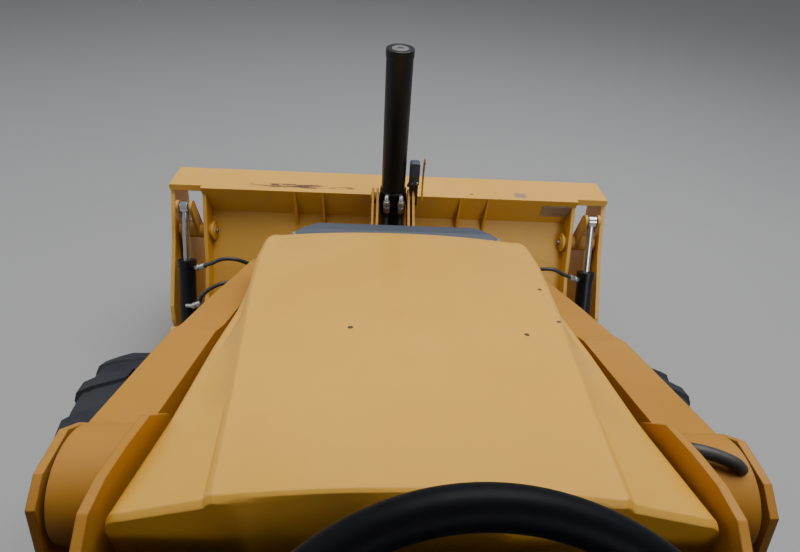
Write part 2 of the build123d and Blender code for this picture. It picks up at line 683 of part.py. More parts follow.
# Cab: floor, lower walls, posts and roof rails as one welded frame
cab_wall = 25
cab_lower_half = 600
fender_top = 1460
cab_shelf_top = fender_top + 30
sill_z = cab_floor_z + 30
rail_z = cab_roof_z - 110
cab_top = cab_roof_z - 60
post_inner = cab_half_width - cab_post
screen_bottom = 1640
door_gap_rear = 650
cab_frame = block((-cab_lower_half, cab_lower_half), (-640, cab_front - 10), (cab_floor_z, sill_z))
cab_frame += block((-cab_half_width, cab_half_width), (door_gap_rear, cab_front), (cab_floor_z, sill_z))
cab_frame += block((-cab_half_width, cab_half_width), (cab_front - cab_wall, cab_front), (cab_floor_z, screen_bottom))
cab_frame += block((-cab_lower_half, cab_lower_half), (-640, -640 + cab_wall), (cab_floor_z, cab_shelf_top))
cab_frame += block((-cab_half_width, cab_half_width), (cab_rear, -640), (fender_top, cab_shelf_top))
cab_frame += block((-cab_half_width, cab_half_width), (cab_rear, cab_rear + cab_wall), (fender_top, 1560))
cab_frame += block((-cab_half_width, cab_half_width), (cab_rear + 10, cab_rear + 70), (rail_z, cab_top))
cab_frame += block((-cab_half_width, cab_half_width), (1240, 1296), (rail_z, cab_top))
for side in (-1, 1):
    def across(low, high):
        return tuple(sorted((side * low, side * high)))
    cab_frame += block(across(cab_lower_half - 15, cab_lower_half), (-640, door_gap_rear), (cab_floor_z, cab_shelf_top))
    cab_frame += block(across(cab_lower_half - 15, cab_half_width), (cab_rear, door_gap_rear), (
        fender_top, cab_shelf_top))
    cab_frame += block(across(post_inner, cab_half_width), (cab_rear + 10, 1296), (rail_z, cab_top))
    cab_frame += block(across(post_inner, cab_half_width), (door_gap_rear - 60, door_gap_rear), (cab_floor_z, cab_top))
    x0, x1 = across(post_inner, cab_half_width)
    cab_frame += side_plate([(1272, screen_bottom - 1), (cab_front, screen_bottom - 1), (1296, cab_top), (
        1232, cab_top)], x0, x1)
    cab_frame += block(across(post_inner, cab_half_width), (1272, cab_front), (sill_z - 1, screen_bottom))
    cab_frame += side_plate([(cab_rear, fender_top), (cab_rear + 60, fender_top), (cab_rear + 70, cab_top), (
        cab_rear + 10, cab_top)], x0, x1)
    for y in (-500, 1120):
        cab_frame += block(across(rail_inner, rail_outer), (y - 40, y + 40), (rail_rear_top, cab_floor_z + 1))
hinge_x = cab_half_width + 42
hinge_y = 610
hinge_pin_radius = 7
hinge_heights = (1400, 2480)
for side in (-1, 1):
    for z in hinge_heights:
        cab_frame += Pos(side * hinge_x, hinge_y, z) * Cylinder(hinge_pin_radius, 100)
        for low in (z - 50, z + 34):
            x0, x1 = sorted((side * (cab_half_width - 10), side * hinge_x))
            cab_frame += block((x0, x1), (hinge_y - 14, hinge_y - 4), (low, low + 16))
            cab_frame += Pos(side * hinge_x, hinge_y, low + 8) * Cylinder(14, 16)
keep("cab_frame", cab_frame)

# Roof cap with four work lamps front and rear
roof_half = 735
roof = flat_plate([
    (-roof_half, -700), (-roof_half + 60, -760), (roof_half - 60, -760), (roof_half, -700),
    (roof_half, 1330), (roof_half - 80, 1410), (-roof_half + 80, 1410), (-roof_half, 1330)],
    cab_top, cab_roof_z)
roof = chamfer(roof.edges().group_by(Axis.Z)[-1], 22)
for x in (-560, -400, 400, 560):
    for y, direction in ((1408, 1), (-758, -1)):
        y0, y1 = sorted((y, y + direction * 34))
        roof += cross_plate([(x - 60, cab_top + 4), (x + 60, cab_top + 4), (x + 52, cab_top + 50), (
            x - 52, cab_top + 50)], y0, y1)
keep("cab_roof", roof)

# Glass: windscreen, rear window and the two fixed side windows
glass_gap = running_gap
pane_half = post_inner - glass_gap
windscreen = side_plate([(1320, screen_bottom + glass_gap), (1320 + glass_thickness, screen_bottom + glass_gap), (
    1278 + glass_thickness, rail_z - glass_gap), (1278, rail_z - glass_gap)], -pane_half, pane_half)
rear_pane = side_plate([(cab_rear + 14, 1560 + glass_gap), (cab_rear + 14 + glass_thickness, 1560 + glass_gap), (
    cab_rear + 22 + glass_thickness, rail_z - glass_gap), (cab_rear + 22, rail_z - glass_gap)],
    -pane_half, pane_half)
side_pane = side_plate([
    (cab_rear + 62, cab_shelf_top + glass_gap), (door_gap_rear - 60 - glass_gap, cab_shelf_top + glass_gap),
    (door_gap_rear - 60 - glass_gap, rail_z - glass_gap), (cab_rear + 71, rail_z - glass_gap)],
    post_inner + 30, post_inner + 30 + glass_thickness)
keep("cab_glass", windscreen, rear_pane, pair(side_pane))

# Doors: framed leaves on outside hinges, each with one pane
door_inner_x = cab_half_width + 6
door_outer_x = cab_half_width + 38
door_low, door_high = sill_z + 15, rail_z + 10
door_y0, door_y1 = hinge_y + 20, door_front
door_rail = 44
door_outline = [(door_y0, door_low), (door_y1 + 60, door_low), (door_y1 + 60, 1600), (door_y1 + 14, door_high),
                (door_y0, door_high)]
door_hole = [(door_y0 + door_rail, door_low + 330), (door_y1 + 14, door_low + 330), (door_y1 + 14, 1602),
             (door_y1 - 26, door_high - door_rail), (door_y0 + door_rail, door_high - door_rail)]
door = side_plate(door_outline, door_inner_x, door_outer_x, radius=30)
door -= side_plate(door_hole, door_inner_x - 1, door_outer_x + 1, radius=24)
for z in hinge_heights:
    door += Pos(hinge_x, hinge_y, z) * Cylinder(14, 64)
    door += block((door_outer_x - 14, hinge_x), (hinge_y, door_y0 + 12), (z - 32, z + 32))
    door -= Pos(hinge_x, hinge_y, z) * Cylinder(hinge_pin_radius + running_gap, 120)
door += block((door_outer_x - 1, door_outer_x + 26), (door_y1 - 120, door_y1 + 20), (1390, 1420))
keep("door_right", door)
keep("door_left", mirrored(door))
door_pane = side_plate(door_hole, door_inner_x + 12, door_inner_x + 12 + glass_thickness, radius=24)
keep("door_glass_right", door_pane)
keep("door_glass_left", mirrored(door_pane))

# Rear fenders: an arch over each tyre with its inner wall against the cab
fender_gap_radius = rear_tyre_radius + 36
arch = pin(rear_wheel, fender_top - rear_tyre_radius - 2, cab_lower_half, 1090) - pin(
    rear_wheel, fender_gap_radius, cab_lower_half + 14, 1100)
arch &= block((cab_lower_half, 1091), (-660, 588), (1060, fender_top + 1))
keep("rear_fenders", pair(arch))

# Side tanks with two steps cut into their outer faces
tank_outer = 900
tank = block((rail_outer, tank_outer), (790, 1330), (500, 1060))
tank -= block((tank_outer - 170, tank_outer + 1), (830, 1290), (760, 1061))
tank -= block((tank_outer - 90, tank_outer + 1), (830, 1290), (520, 735))
tank -= block((tank_outer - 200, tank_outer + 1), (830, 1290), (900, 1061))
tank = chamfer(tank.edges().filter_by(Axis.X).group_by(Axis.Z)[0], 40)
keep("side_tanks", pair(tank))

# Driver's console with the steering column, and the digger's lever stand
lean = math.radians(wheel_tilt)
column_axis = (0, -math.sin(lean), math.cos(lean))


def on_column(distance):
    return (0, wheel_centre[0] + column_axis[1] * distance, wheel_centre[1] + column_axis[2] * distance)


column_radius = 30
console = side_plate([(1110, sill_z), (1300, sill_z), (1312, 1640), (1290, 1690), (1220, 1735), (1150, 1700)],
                     -170, 170)
console += bar(on_column(-340), on_column(-58), column_radius)
console += bar(on_column(-60), on_column(-20), 11)
lever_stand = block((-250, 250), (-585, -470), (sill_z, 1500))
for x in (-130, 130):
    lever_stand += bar((x, -520, 1499), (x, -500, 1700), 9)
    lever_stand += Pos(x, -500, 1710) * Sphere(26)
side_stand = block((430, 520), (300, 640), (sill_z, 1520)) + bar((475, 560, 1519), (470, 600, 1690), 9)
side_stand += Pos(470, 602, 1700) * Sphere(24)
keep("control_stands", console, lever_stand, side_stand)

# Steering wheel: grained rim, three dished spokes and a hub on the column
wheel_plane = Plane(origin=on_column(0), x_dir=(1, 0, 0), z_dir=column_axis)
steering_wheel = wheel_plane * Torus(wheel_rim_radius, wheel_tube_radius)
steering_wheel += bar(on_column(-50), on_column(-8), 38)
for number in range(3):
    angle = math.radians(-90 + 120 * number)
    reach = Vector(math.cos(angle), math.sin(angle), 0)
    tip = wheel_plane.from_local_coords(reach * (wheel_rim_radius - 2))
    root = wheel_plane.from_local_coords(reach * 20 + Vector(0, 0, -28))
    steering_wheel += bar(tuple(root), tuple(tip), 9)
steering_wheel -= bar(on_column(-62), on_column(-15), 11 + running_gap)
keep("steering_wheel", steering_wheel)

# Operator's seat on its turning pedestal
seat = Pos(0, seat_centre_y, sill_z + 60) * Cylinder(140, 119.6)
seat += block((-190, 190), (seat_centre_y - 180, seat_centre_y + 180), (sill_z + 118, sill_z + 190))
seat += block((-250, 250), (seat_centre_y - 250, seat_centre_y + 270), (sill_z + 188, sill_z + 310))
seat += side_plate([
    (seat_centre_y - 250, sill_z + 300), (seat_centre_y - 120, sill_z + 300),
    (seat_centre_y - 190, sill_z + 900), (seat_centre_y - 290, sill_z + 900)], -235, 235)
keep("operator_seat", seat)

# Rear slide frame with the stabiliser housings at its ends
flange_height = 30
flange_thickness = 20
slide_frame_front = slide_frame_rear + slide_frame_depth
slide_frame = block((-slide_frame_half_width, slide_frame_half_width), (slide_frame_rear, slide_frame_front), (
    slide_lower_z, slide_lower_z + slide_beam_height))
slide_frame += block((-slide_frame_half_width, slide_frame_half_width), (slide_frame_rear, slide_frame_front), (
    slide_upper_z, slide_upper_z + slide_beam_height))
slide_top = slide_upper_z + slide_beam_height
flange_half = housing_x - housing_size / 2 - 5
slide_frame += block((-flange_half, flange_half), (slide_frame_rear, slide_frame_rear + flange_thickness), (
    slide_top - 1, slide_top + flange_height))
slide_frame += block((-flange_half, flange_half), (slide_frame_rear, slide_frame_rear + flange_thickness), (
    slide_lower_z - flange_height, slide_lower_z + 1))
housing_y = slide_frame_rear + housing_size / 2
housing_inner = housing_size - 2 * housing_wall
for side in (-1, 1):
    slide_frame += Pos(side * housing_x, housing_y, 790) * Box(housing_size, housing_size, 920)
    x0, x1 = sorted((side * rail_inner, side * rail_outer))
    slide_frame += side_plate([(slide_frame_front - 1, slide_lower_z), (slide_frame_front - 1, rail_rear_bottom), (
        -640, rail_rear_bottom), (-720, 700)], x0, x1)
for side in (-1, 1):
    slide_frame -= Pos(side * housing_x, housing_y, 790) * Box(housing_inner, housing_inner, 1000)
keep("slide_frame", slide_frame)

for name, side in (("stabiliser_left", -1), ("stabiliser_right", 1)):
    leg = block((side * housing_x - leg_size / 2, side * housing_x + leg_size / 2),
                (housing_y - leg_size / 2, housing_y + leg_size / 2), (leg_foot_z + 20, 1200))
    leg += block((side * housing_x - 90, side * housing_x + 90), (housing_y - 85, housing_y + 95), (
        leg_foot_z, leg_foot_z + 24))
    keep(name, leg)

# Carriage that slides along the frame, with the ears of the swing pins
carriage_front = slide_frame_rear - swing_gap
carriage_rear = carriage_front - carriage_plate
slide_play = 0.5
hook_top = slide_top + flange_height + slide_play
hook_bottom = slide_lower_z - flange_height - slide_play
carriage = block((-carriage_half_width, carriage_half_width), (carriage_rear, carriage_front), (
    hook_bottom - 30, hook_top + 30))
lip_rear = slide_frame_rear + flange_thickness + swing_gap
for z0, z1, lip0, lip1 in (
    (hook_top, hook_top + 30, slide_top + swing_gap, hook_top + 30),
    (hook_bottom - 30, hook_bottom, hook_bottom - 30, slide_lower_z - swing_gap),
):
    carriage += block((-carriage_half_width, carriage_half_width), (carriage_rear, lip_rear + 20), (z0, z1))
    carriage += block((-carriage_half_width, carriage_half_width), (lip_rear, lip_rear + 20), (lip0, lip1))
swing_ear = 45
upper_ear_z = 780
lower_ear_z = 480
swing_ear_radius = 75
swing_pin_radius = 40
for z in (lower_ear_z, upper_ear_z):
    carriage += flat_plate([
        (-170, carriage_rear + 1), (170, carriage_rear + 1), (swing_ear_radius, carriage_rear - 60),
        (swing_ear_radius, swing_axis_y), (-swing_ear_radius, swing_axis_y),
        (-swing_ear_radius, carriage_rear - 60)], z, z + swing_ear)
    carriage += Pos(0, swing_axis_y, z + swing_ear / 2) * Cylinder(swing_ear_radius, swing_ear)
carriage -= Pos(0, swing_axis_y, 650) * Cylinder(swing_pin_radius + running_gap, 700)
swing_lug_x = 120
swing_tube_z = 375
swing_tube_radius = 34
swing_rod_radius = 17
swing_eye_half = 19
for side in (-1, 1):
    x = side * swing_lug_x
    carriage += block((x - 45, x + 45), (carriage_rear, carriage_front), (swing_tube_z, hook_bottom - 29))
    carriage += bar((x, -950, swing_tube_z), (x, -1245, swing_tube_z), swing_tube_radius)
    carriage -= bar((x, -955, swing_tube_z), (x, -1250, swing_tube_z), swing_rod_radius + running_gap)
keep("swing_carriage", carriage)

for name, side in (("swing_rod_left", -1), ("swing_rod_right", 1)):
    x = side * swing_lug_x
    rod = bar((x, -1100, swing_tube_z), (x, swing_axis_y, swing_tube_z), swing_rod_radius)
    keep(name, rod + Pos(x, swing_axis_y, swing_tube_z) * Cylinder(30, 2 * swing_eye_half))

# Kingpost: wraps round the carriage ears and carries the boom foot
post_top = upper_ear_z + swing_ear + swing_gap
post_bottom = lower_ear_z - swing_gap
post_plate = 40
spine_front = swing_axis_y - swing_ear_radius - swing_gap
spine_depth = 40
foot_ear_outer = 165
foot_ear_inner = boom_half_width + swing_gap
kingpost = block((-foot_ear_outer, foot_ear_outer), (spine_front - spine_depth, spine_front), (
    post_bottom - post_plate, post_top + post_plate))
for z in (post_bottom - post_plate, post_top):
    kingpost += flat_plate([
        (-foot_ear_outer, spine_front - 1), (-swing_ear_radius, swing_axis_y), (swing_ear_radius, swing_axis_y),
        (foot_ear_outer, spine_front - 1)], z, z + post_plate)
    kingpost += Pos(0, swing_axis_y, z + post_plate / 2) * Cylinder(swing_ear_radius, post_plate)
kingpost += Pos(0, swing_axis_y, (post_top + upper_ear_z) / 2 + 2) * Cylinder(swing_pin_radius, post_top - upper_ear_z + 6)
kingpost += Pos(0, swing_axis_y, (post_bottom + lower_ear_z + swing_ear) / 2 - 2) * Cylinder(
    swing_pin_radius, lower_ear_z + swing_ear - post_bottom + 6)
kingpost += block((-swing_lug_x - 30, swing_lug_x + 30), (swing_axis_y - 40, swing_axis_y + 30), (
    post_bottom - post_plate, post_bottom))
lug_bottom = swing_tube_z + swing_eye_half + swing_gap
for side in (-1, 1):
    kingpost += Pos(side * swing_lug_x, swing_axis_y, (lug_bottom + post_bottom - post_plate + 2) / 2) * Cylinder(
        28, post_bottom - post_plate + 2 - lug_bottom)
    x0, x1 = sorted((side * foot_ear_inner, side * foot_ear_outer))
    kingpost += ear(boom_foot, (spine_front - 30, 720), 75, 300, x0, x1)
    x0, x1 = sorted((side * (boom_half_width - boom_plate), side * foot_ear_outer))
    kingpost += pin(boom_foot, 30, x0, x1)
    x0, x1 = sorted((side * 70, side * 90))
    kingpost += ear(boom_cylinder_base, (swing_axis_y, post_top + post_plate - 6), 48, 130, x0, x1)
kingpost -= block((-70, 70), (spine_front - spine_depth - 1, spine_front), (770, post_top + post_plate + 1))
kingpost += pin(boom_cylinder_base, pin_radius, -90, 90)
keep("kingpost", kingpost)

# Boom: two deep plates closed by webs, open low down for its cylinder
boom_heading = heading(boom_foot, boom_tip)
boom_length = math.dist(boom_foot, boom_tip)


def on_boom(reach, offset):
    """A point along the boom and offset to its cab side."""
    return polar(polar(boom_foot, reach, boom_heading), offset, boom_heading - 90)


boom_pin = on_boom(boom_pin_reach * math.cos(math.radians(boom_pin_angle)),
                   boom_pin_reach * math.sin(math.radians(boom_pin_angle)))
crowd_base = on_boom(boom_length - crowd_base_reach * math.cos(math.radians(crowd_base_angle)),
                     crowd_base_reach * math.sin(math.radians(crowd_base_angle)))
boom_side = [on_boom(r, q) for r, q in (
    (-20, -62), (500, -120), (1500, -140), (2250, -105), (boom_length, -82), (boom_length + 40, -60),
    (boom_length + 40, 60), (boom_length, 82), (1950, 118), (1720, 205), (1240, 225), (900, 125), (200, 50), (-20, 50))]
boom_inner = boom_half_width - boom_plate
boom_pin_stub = 50
boom = side_plate([on_boom(r, q) for r, q in (
    (1750, -125), (2100, -108), (boom_length - 250, -60), (boom_length - 250, 40), (2100, 72), (1750, 72))],
    -boom_inner - 1, boom_inner + 1)
boom += side_plate([on_boom(r, q) for r, q in (
    (260, -98), (500, -116), (1500, -136), (1760, -128), (1760, -90), (1500, -96), (500, -76), (260, -60))],
    -boom_inner - 1, boom_inner + 1)
for side in (-1, 1):
    x0, x1 = sorted((side * boom_inner, side * boom_half_width))
    boom += side_plate(boom_side, x0, x1) + pin(boom_foot, 74, x0, x1) + pin(boom_tip, 84, x0, x1)
    x0, x1 = sorted((side * boom_pin_stub, side * (boom_half_width + 12)))
    boom += pin(boom_pin, 24, x0, x1) + pin(crowd_base, 24, x0, x1)
boom -= pin(boom_foot, 30 + running_gap, -boom_half_width - 1, boom_half_width + 1)
boom += pin(boom_tip, 30, -boom_half_width - 10, boom_half_width + 10)
keep("boom", boom)

boom_tube_radius = 60
boom_rod_radius = 30
boom_eye_half = 45
boom_tube = cylinder_tube(
    boom_cylinder_base, boom_pin, 0, 48, boom_tube_radius, boom_rod_radius, 900, 2 * (70 - swing_gap))
boom_tube -= pin(boom_cylinder_base, pin_radius + running_gap, -80, 80)
keep("boom_cylinder_tube", boom_tube)
boom_rod = cylinder_rod(boom_cylinder_base, boom_pin, 0, 46, boom_rod_radius, 150, 2 * boom_eye_half)
keep("boom_cylinder_rod", boom_rod - pin(boom_pin, 25, -60, 60))

# Stick: a tapered box with the crowd arm above the boom tip
stick_heading = boom_heading + 180 - stick_angle


def on_stick(reach, offset):
    """A point down the stick and offset to its outer side."""
    return polar(polar(boom_tip, reach, stick_heading), offset, stick_heading - 90)


bucket_pin = on_stick(stick_length, 0)
crowd_pin = polar(boom_tip, crowd_arm, stick_heading - 180 + crowd_arm_angle)
rocker_pivot = on_stick(stick_length - 308, 30)
stick_side = [on_stick(s, n) for s, n in (
    (0, 80), (200, 86), (450, 98), (1200, 68), (stick_length, 53), (stick_length, -53), (1200, -95),
    (700, -125), (400, -84), (0, -80))]
stick = side_plate(stick_side, -stick_half_width, stick_half_width)
stick += pin(boom_tip, 84, -stick_half_width, stick_half_width)
stick += pin(bucket_pin, 55, -stick_half_width, stick_half_width)
stick += ear(crowd_pin, boom_tip, 48, 120, -stick_half_width, stick_half_width)
stick -= pin(crowd_pin, 210, -50, 50)
stick += pin(rocker_pivot, pin_radius, -135, 135)
hoe_base = on_stick(250, 190)
for side in (-1, 1):
    x0, x1 = sorted((side * 55, side * 75))
    stick += ear(hoe_base, on_stick(250, 70), 42, 150, x0, x1)
    x0, x1 = sorted((side * 49, side * stick_half_width))
    stick += pin(crowd_pin, 24, x0, x1)
stick += pin(hoe_base, 22, -75, 75)
stick -= pin(boom_tip, 30 + running_gap, -200, 200)
stick -= pin(bucket_pin, 30 + running_gap, -200, 200)
keep("stick", stick)

crowd_tube = cylinder_tube(crowd_base, crowd_pin, 0, 44, 52, 28, 715, 90)
keep("crowd_cylinder_tube", crowd_tube - pin(crowd_base, 25, -60, 60))
crowd_rod = cylinder_rod(crowd_base, crowd_pin, 0, 44, 28, 600, 88)
keep("crowd_cylinder_rod", crowd_rod - pin(crowd_pin, 25, -60, 60))

# Rear bucket: rolled shell, side plates, ears and five teeth
bucket_heading = stick_heading + hoe_bucket_curl


def on_bucket(along, belly):
    """A point from the bucket pin toward the teeth and into the belly."""
    return polar(polar(bucket_pin, along, bucket_heading), belly, bucket_heading - 90)


bucket_ear_pin = polar(bucket_pin, bucket_ear_reach, bucket_heading - bucket_ear_angle)
shell_outer = [(95, 75), (20, 270), (70, 420), (250, 500), (540, 430), (900, 105)]
shell_inner = [(930, 80), (890, 92), (533, 416), (254, 485), (82, 410), (36, 270), (110, 80)]
hoe = side_plate([on_bucket(a, b) for a, b in shell_outer + shell_inner],
                 -hoe_bucket_half_width, hoe_bucket_half_width)
cheek = [(95, 75), (20, 270), (70, 420), (250, 500), (540, 430), (925, 80), (860, 40), (560, 70), (300, 20), (130, 40)]
for side in (-1, 1):
    x0, x1 = sorted((side * (hoe_bucket_half_width - 18), side * hoe_bucket_half_width))
    hoe += side_plate([on_bucket(a, b) for a, b in cheek], x0, x1)
    x0, x1 = sorted((side * 85, side * 110))
    hoe += side_plate([on_bucket(a, b) for a, b in (
        (-20, 58), (60, -40), (120, 90), (60, 300), (-60, 330), (-185, 245), (-150, 170))], x0, x1)
    hoe += pin(bucket_pin, 60, x0, x1) + pin(bucket_ear_pin, 45, x0, x1)
hoe += pin(bucket_pin, 30, -110, 110)
for number in range(5):
    x = (number - 2) * 125
    hoe += side_plate([on_bucket(a, b) for a, b in (
        (870, 120), (905, 80), (hoe_bucket_reach, 8), (930, 108))], x - 26, x + 26)
keep("hoe_bucket", hoe)

# Rocker plates and the link that turn the rear bucket
triangle = math.dist(rocker_pivot, bucket_ear_pin)
rocker_spread = math.degrees(math.acos(
    (rocker_length ** 2 + triangle ** 2 - link_length ** 2) / (2 * rocker_length * triangle)))
rocker_pin = polar(rocker_pivot, rocker_length, heading(rocker_pivot, bucket_ear_pin) - rocker_spread)
rocker_inner, rocker_outer = 115, 133
rockers = []
for side in (-1, 1):
    x0, x1 = sorted((side * rocker_inner, side * rocker_outer))
    plate = ear(rocker_pin, rocker_pivot, 38, 76, x0, x1) + pin(rocker_pivot, 38, x0, x1)
    x0, x1 = sorted((side * 48, side * rocker_outer))
    plate += pin(rocker_pin, 24, x0, x1)
    rockers.append(plate - pin(rocker_pivot, pin_radius + running_gap, -200, 200))
keep("bucket_rocker", rockers)
link_middle = toward(rocker_pin, bucket_ear_pin, 165)
link = pin(link_middle, 24, -54, 54)
for side in (-1, 1):
    x0, x1 = sorted((side * 53, side * 80))
    link += ear(bucket_ear_pin, rocker_pin, 26, 52, x0, x1)
    link += pin(bucket_ear_pin, 34, x0, x1) + pin(rocker_pin, 34, x0, x1)
link -= pin(rocker_pin, 24 + running_gap, -200, 200)
keep("bucket_link", link)

hoe_tube = cylinder_tube(hoe_base, rocker_pin, 0, 42, 48, 27, 1130, 2 * 50)
keep("hoe_cylinder_tube", hoe_tube - pin(hoe_base, 22 + running_gap, -60, 60))
hoe_rod = cylinder_rod(hoe_base, rocker_pin, 0, 38, 27, 980, 80)
keep("hoe_cylinder_rod", hoe_rod - pin(rocker_pin, 24, -60, 60))

# Everything moves along Y so that the origin is under the machine's middle
everything = Compound([solid for solids in nodes.values() for solid in solids])
reach = everything.bounding_box()
rear_axle_y = -(reach.min.Y + reach.max.Y) / 2

os.makedirs("parts", exist_ok=True)
for name, solids in nodes.items():
    moved = [Pos(0, rear_axle_y, 0) * solid for solid in solids]
    export_step(moved[0] if len(moved) == 1 else Compound(moved), "parts/" + name + ".step")
print("nodes", len(nodes), "rear axle at", round(rear_axle_y, 2))
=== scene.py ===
# A backhoe loader seen from its driver's seat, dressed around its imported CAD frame.
import math

import bmesh
import bpy
from mathutils import Matrix, Vector


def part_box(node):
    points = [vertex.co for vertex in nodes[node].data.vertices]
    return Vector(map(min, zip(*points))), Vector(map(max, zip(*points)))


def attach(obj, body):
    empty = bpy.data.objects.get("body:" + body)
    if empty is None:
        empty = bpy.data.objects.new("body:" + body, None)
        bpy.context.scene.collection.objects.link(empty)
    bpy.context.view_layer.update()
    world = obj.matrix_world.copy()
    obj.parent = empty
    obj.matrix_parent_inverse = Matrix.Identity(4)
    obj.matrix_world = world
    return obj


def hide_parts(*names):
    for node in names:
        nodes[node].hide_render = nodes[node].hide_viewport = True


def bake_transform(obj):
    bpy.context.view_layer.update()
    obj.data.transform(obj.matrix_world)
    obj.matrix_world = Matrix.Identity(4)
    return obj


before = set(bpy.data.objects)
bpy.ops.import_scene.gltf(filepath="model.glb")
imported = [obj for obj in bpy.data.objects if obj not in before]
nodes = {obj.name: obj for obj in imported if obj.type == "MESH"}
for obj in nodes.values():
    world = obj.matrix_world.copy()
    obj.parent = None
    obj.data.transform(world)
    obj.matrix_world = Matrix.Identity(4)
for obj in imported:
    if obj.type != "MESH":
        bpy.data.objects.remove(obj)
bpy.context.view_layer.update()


# Studio: a plain pale floor, a wide soft lamp overhead and a weaker one from
# each side. The camera stands at the driver's eye, where the photograph was taken.
def centre(node):
    low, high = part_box(node)
    return (Vector(low) + Vector(high)) / 2


rear_axle_y = centre("rear_tyre_left").y
floor_size = 60.0
floor_grey = (0.29, 0.287, 0.287, 1)
sky_grey = (0.78, 0.82, 0.88, 1)

floor_mesh = bpy.data.meshes.new("studio_floor")
half_floor = floor_size / 2
floor_mesh.from_pydata(
    [(-half_floor, -half_floor, 0), (half_floor, -half_floor, 0), (half_floor, half_floor, 0),
     (-half_floor, half_floor, 0)], [], [(0, 1, 2, 3)])
floor = bpy.data.objects.new("studio_floor", floor_mesh)
bpy.context.scene.collection.objects.link(floor)
floor_paint = bpy.data.materials.new("studio_floor")
floor_paint.use_nodes = True
floor_shader = floor_paint.node_tree.nodes["Principled BSDF"]
floor_shader.inputs["Base Color"].default_value = floor_grey
floor_shader.inputs["Roughness"].default_value = 0.75
floor_mesh.materials.append(floor_paint)

world = bpy.data.worlds.new("studio_sky")
world.use_nodes = True
world.node_tree.nodes["Background"].inputs["Color"].default_value = sky_grey
world.node_tree.nodes["Background"].inputs["Strength"].default_value = 0.42
bpy.context.scene.world = world


def soft_lamp(name, place, target, size, watts):
    """An area lamp turned toward a point."""
    data = bpy.data.lights.new(name, "AREA")
    data.shape, data.size, data.energy = "DISK", size, watts
    lamp = bpy.data.objects.new(name, data)
    lamp.location = place
    lamp.rotation_mode = "QUATERNION"
    lamp.rotation_quaternion = (Vector(target) - Vector(place)).to_track_quat("-Z", "Y")
    bpy.context.scene.collection.objects.link(lamp)


soft_lamp("overhead_lamp", (1.5, 3.0, 9.0), (0, 1.0, 1.0), 8.0, 1000)
soft_lamp("left_lamp", (-9.0, 2.0, 5.0), (0, 0.5, 1.2), 5.0, 260)
soft_lamp("rear_lamp", (5.0, -9.0, 5.0), (0, -1.5, 1.5), 5.0, 330)

eye = Vector((-0.078, rear_axle_y + 0.985, 2.427))
look_down, look_right, head_tilt = (math.radians(a) for a in (36.93, 3.29, 3.76))
photo_width, focal_pixels = 800, 533
forward = Vector((math.sin(look_right) * math.cos(look_down), math.cos(look_right) * math.cos(look_down),
                  -math.sin(look_down)))
level_right = Vector((math.cos(look_right), -math.sin(look_right), 0))
level_up = level_right.cross(forward)
camera_right = level_right * math.cos(head_tilt) + level_up * math.sin(head_tilt)
camera_up = level_up * math.cos(head_tilt) - level_right * math.sin(head_tilt)
camera_data = bpy.data.cameras.new("driver_eye")
camera_data.sensor_width = 36
camera_data.lens = camera_data.sensor_width * focal_pixels / photo_width
camera_data.clip_start, camera_data.clip_end = 0.02, 200
camera = bpy.data.objects.new("driver_eye", camera_data)
turn = Matrix((camera_right, camera_up, -forward)).transposed()
camera.matrix_world = Matrix.Translation(eye) @ turn.to_4x4()
bpy.context.scene.collection.objects.link(camera)
bpy.context.scene.camera = camera

# Paint: the hood, arms and digger are sprayed yellow over steel. The sun has
# faded the upper faces, dust lies on them and the edges are rubbed thin.


def new_group(name, inputs, outputs):
    """An empty shader node group with named inputs and outputs."""
    tree = bpy.data.node_groups.new(name, "ShaderNodeTree")
    for label, kind, value in inputs:
        socket = tree.interface.new_socket(name=label, in_out="INPUT", socket_type="NodeSocket" + kind)
        socket.default_value = value
    for label, kind in outputs:
        tree.interface.new_socket(name=label, in_out="OUTPUT", socket_type="NodeSocket" + kind)
    return tree, tree.nodes.new("NodeGroupInput").outputs, tree.nodes.new("NodeGroupOutput").inputs


def connect(tree, source, target):
    """Feeds a socket from another socket, or sets its value."""
    if isinstance(source, bpy.types.NodeSocket):
        tree.links.new(source, target)
    else:
        target.default_value = source


def noise(tree, vector, scale, detail=3.0, rough=0.5):
    node = tree.nodes.new("ShaderNodeTexNoise")
    connect(tree, vector, node.inputs["Vector"])
    connect(tree, scale, node.inputs["Scale"])
    node.inputs["Detail"].default_value = detail
    node.inputs["Roughness"].default_value = rough
    return node.outputs["Fac"]


def spread(tree, value, low, high, new_low=0.0, new_high=1.0):
    """Maps a range of a value onto another, held at both ends."""
    node = tree.nodes.new("ShaderNodeMapRange")
    connect(tree, value, node.inputs["Value"])
    for socket, number in zip(("From Min", "From Max", "To Min", "To Max"), (low, high, new_low, new_high)):
        connect(tree, number, node.inputs[socket])
    return node.outputs["Result"]


def times(tree, a, b, operation="MULTIPLY"):
    node = tree.nodes.new("ShaderNodeMath")
    node.operation = operation
    connect(tree, a, node.inputs[0])
    connect(tree, b, node.inputs[1])
    return node.outputs[0]


def blended(tree, factor, a, b):
    node = tree.nodes.new("ShaderNodeMix")
    node.data_type = "RGBA"
    connect(tree, factor, node.inputs["Factor"])
    connect(tree, a, node.inputs[6])
    connect(tree, b, node.inputs[7])
    return node.outputs[2]


def stretched(tree, vector, scale):
    node = tree.nodes.new("ShaderNodeMapping")
    connect(tree, vector, node.inputs["Vector"])
    node.inputs["Scale"].default_value = scale
    return node.outputs["Vector"]


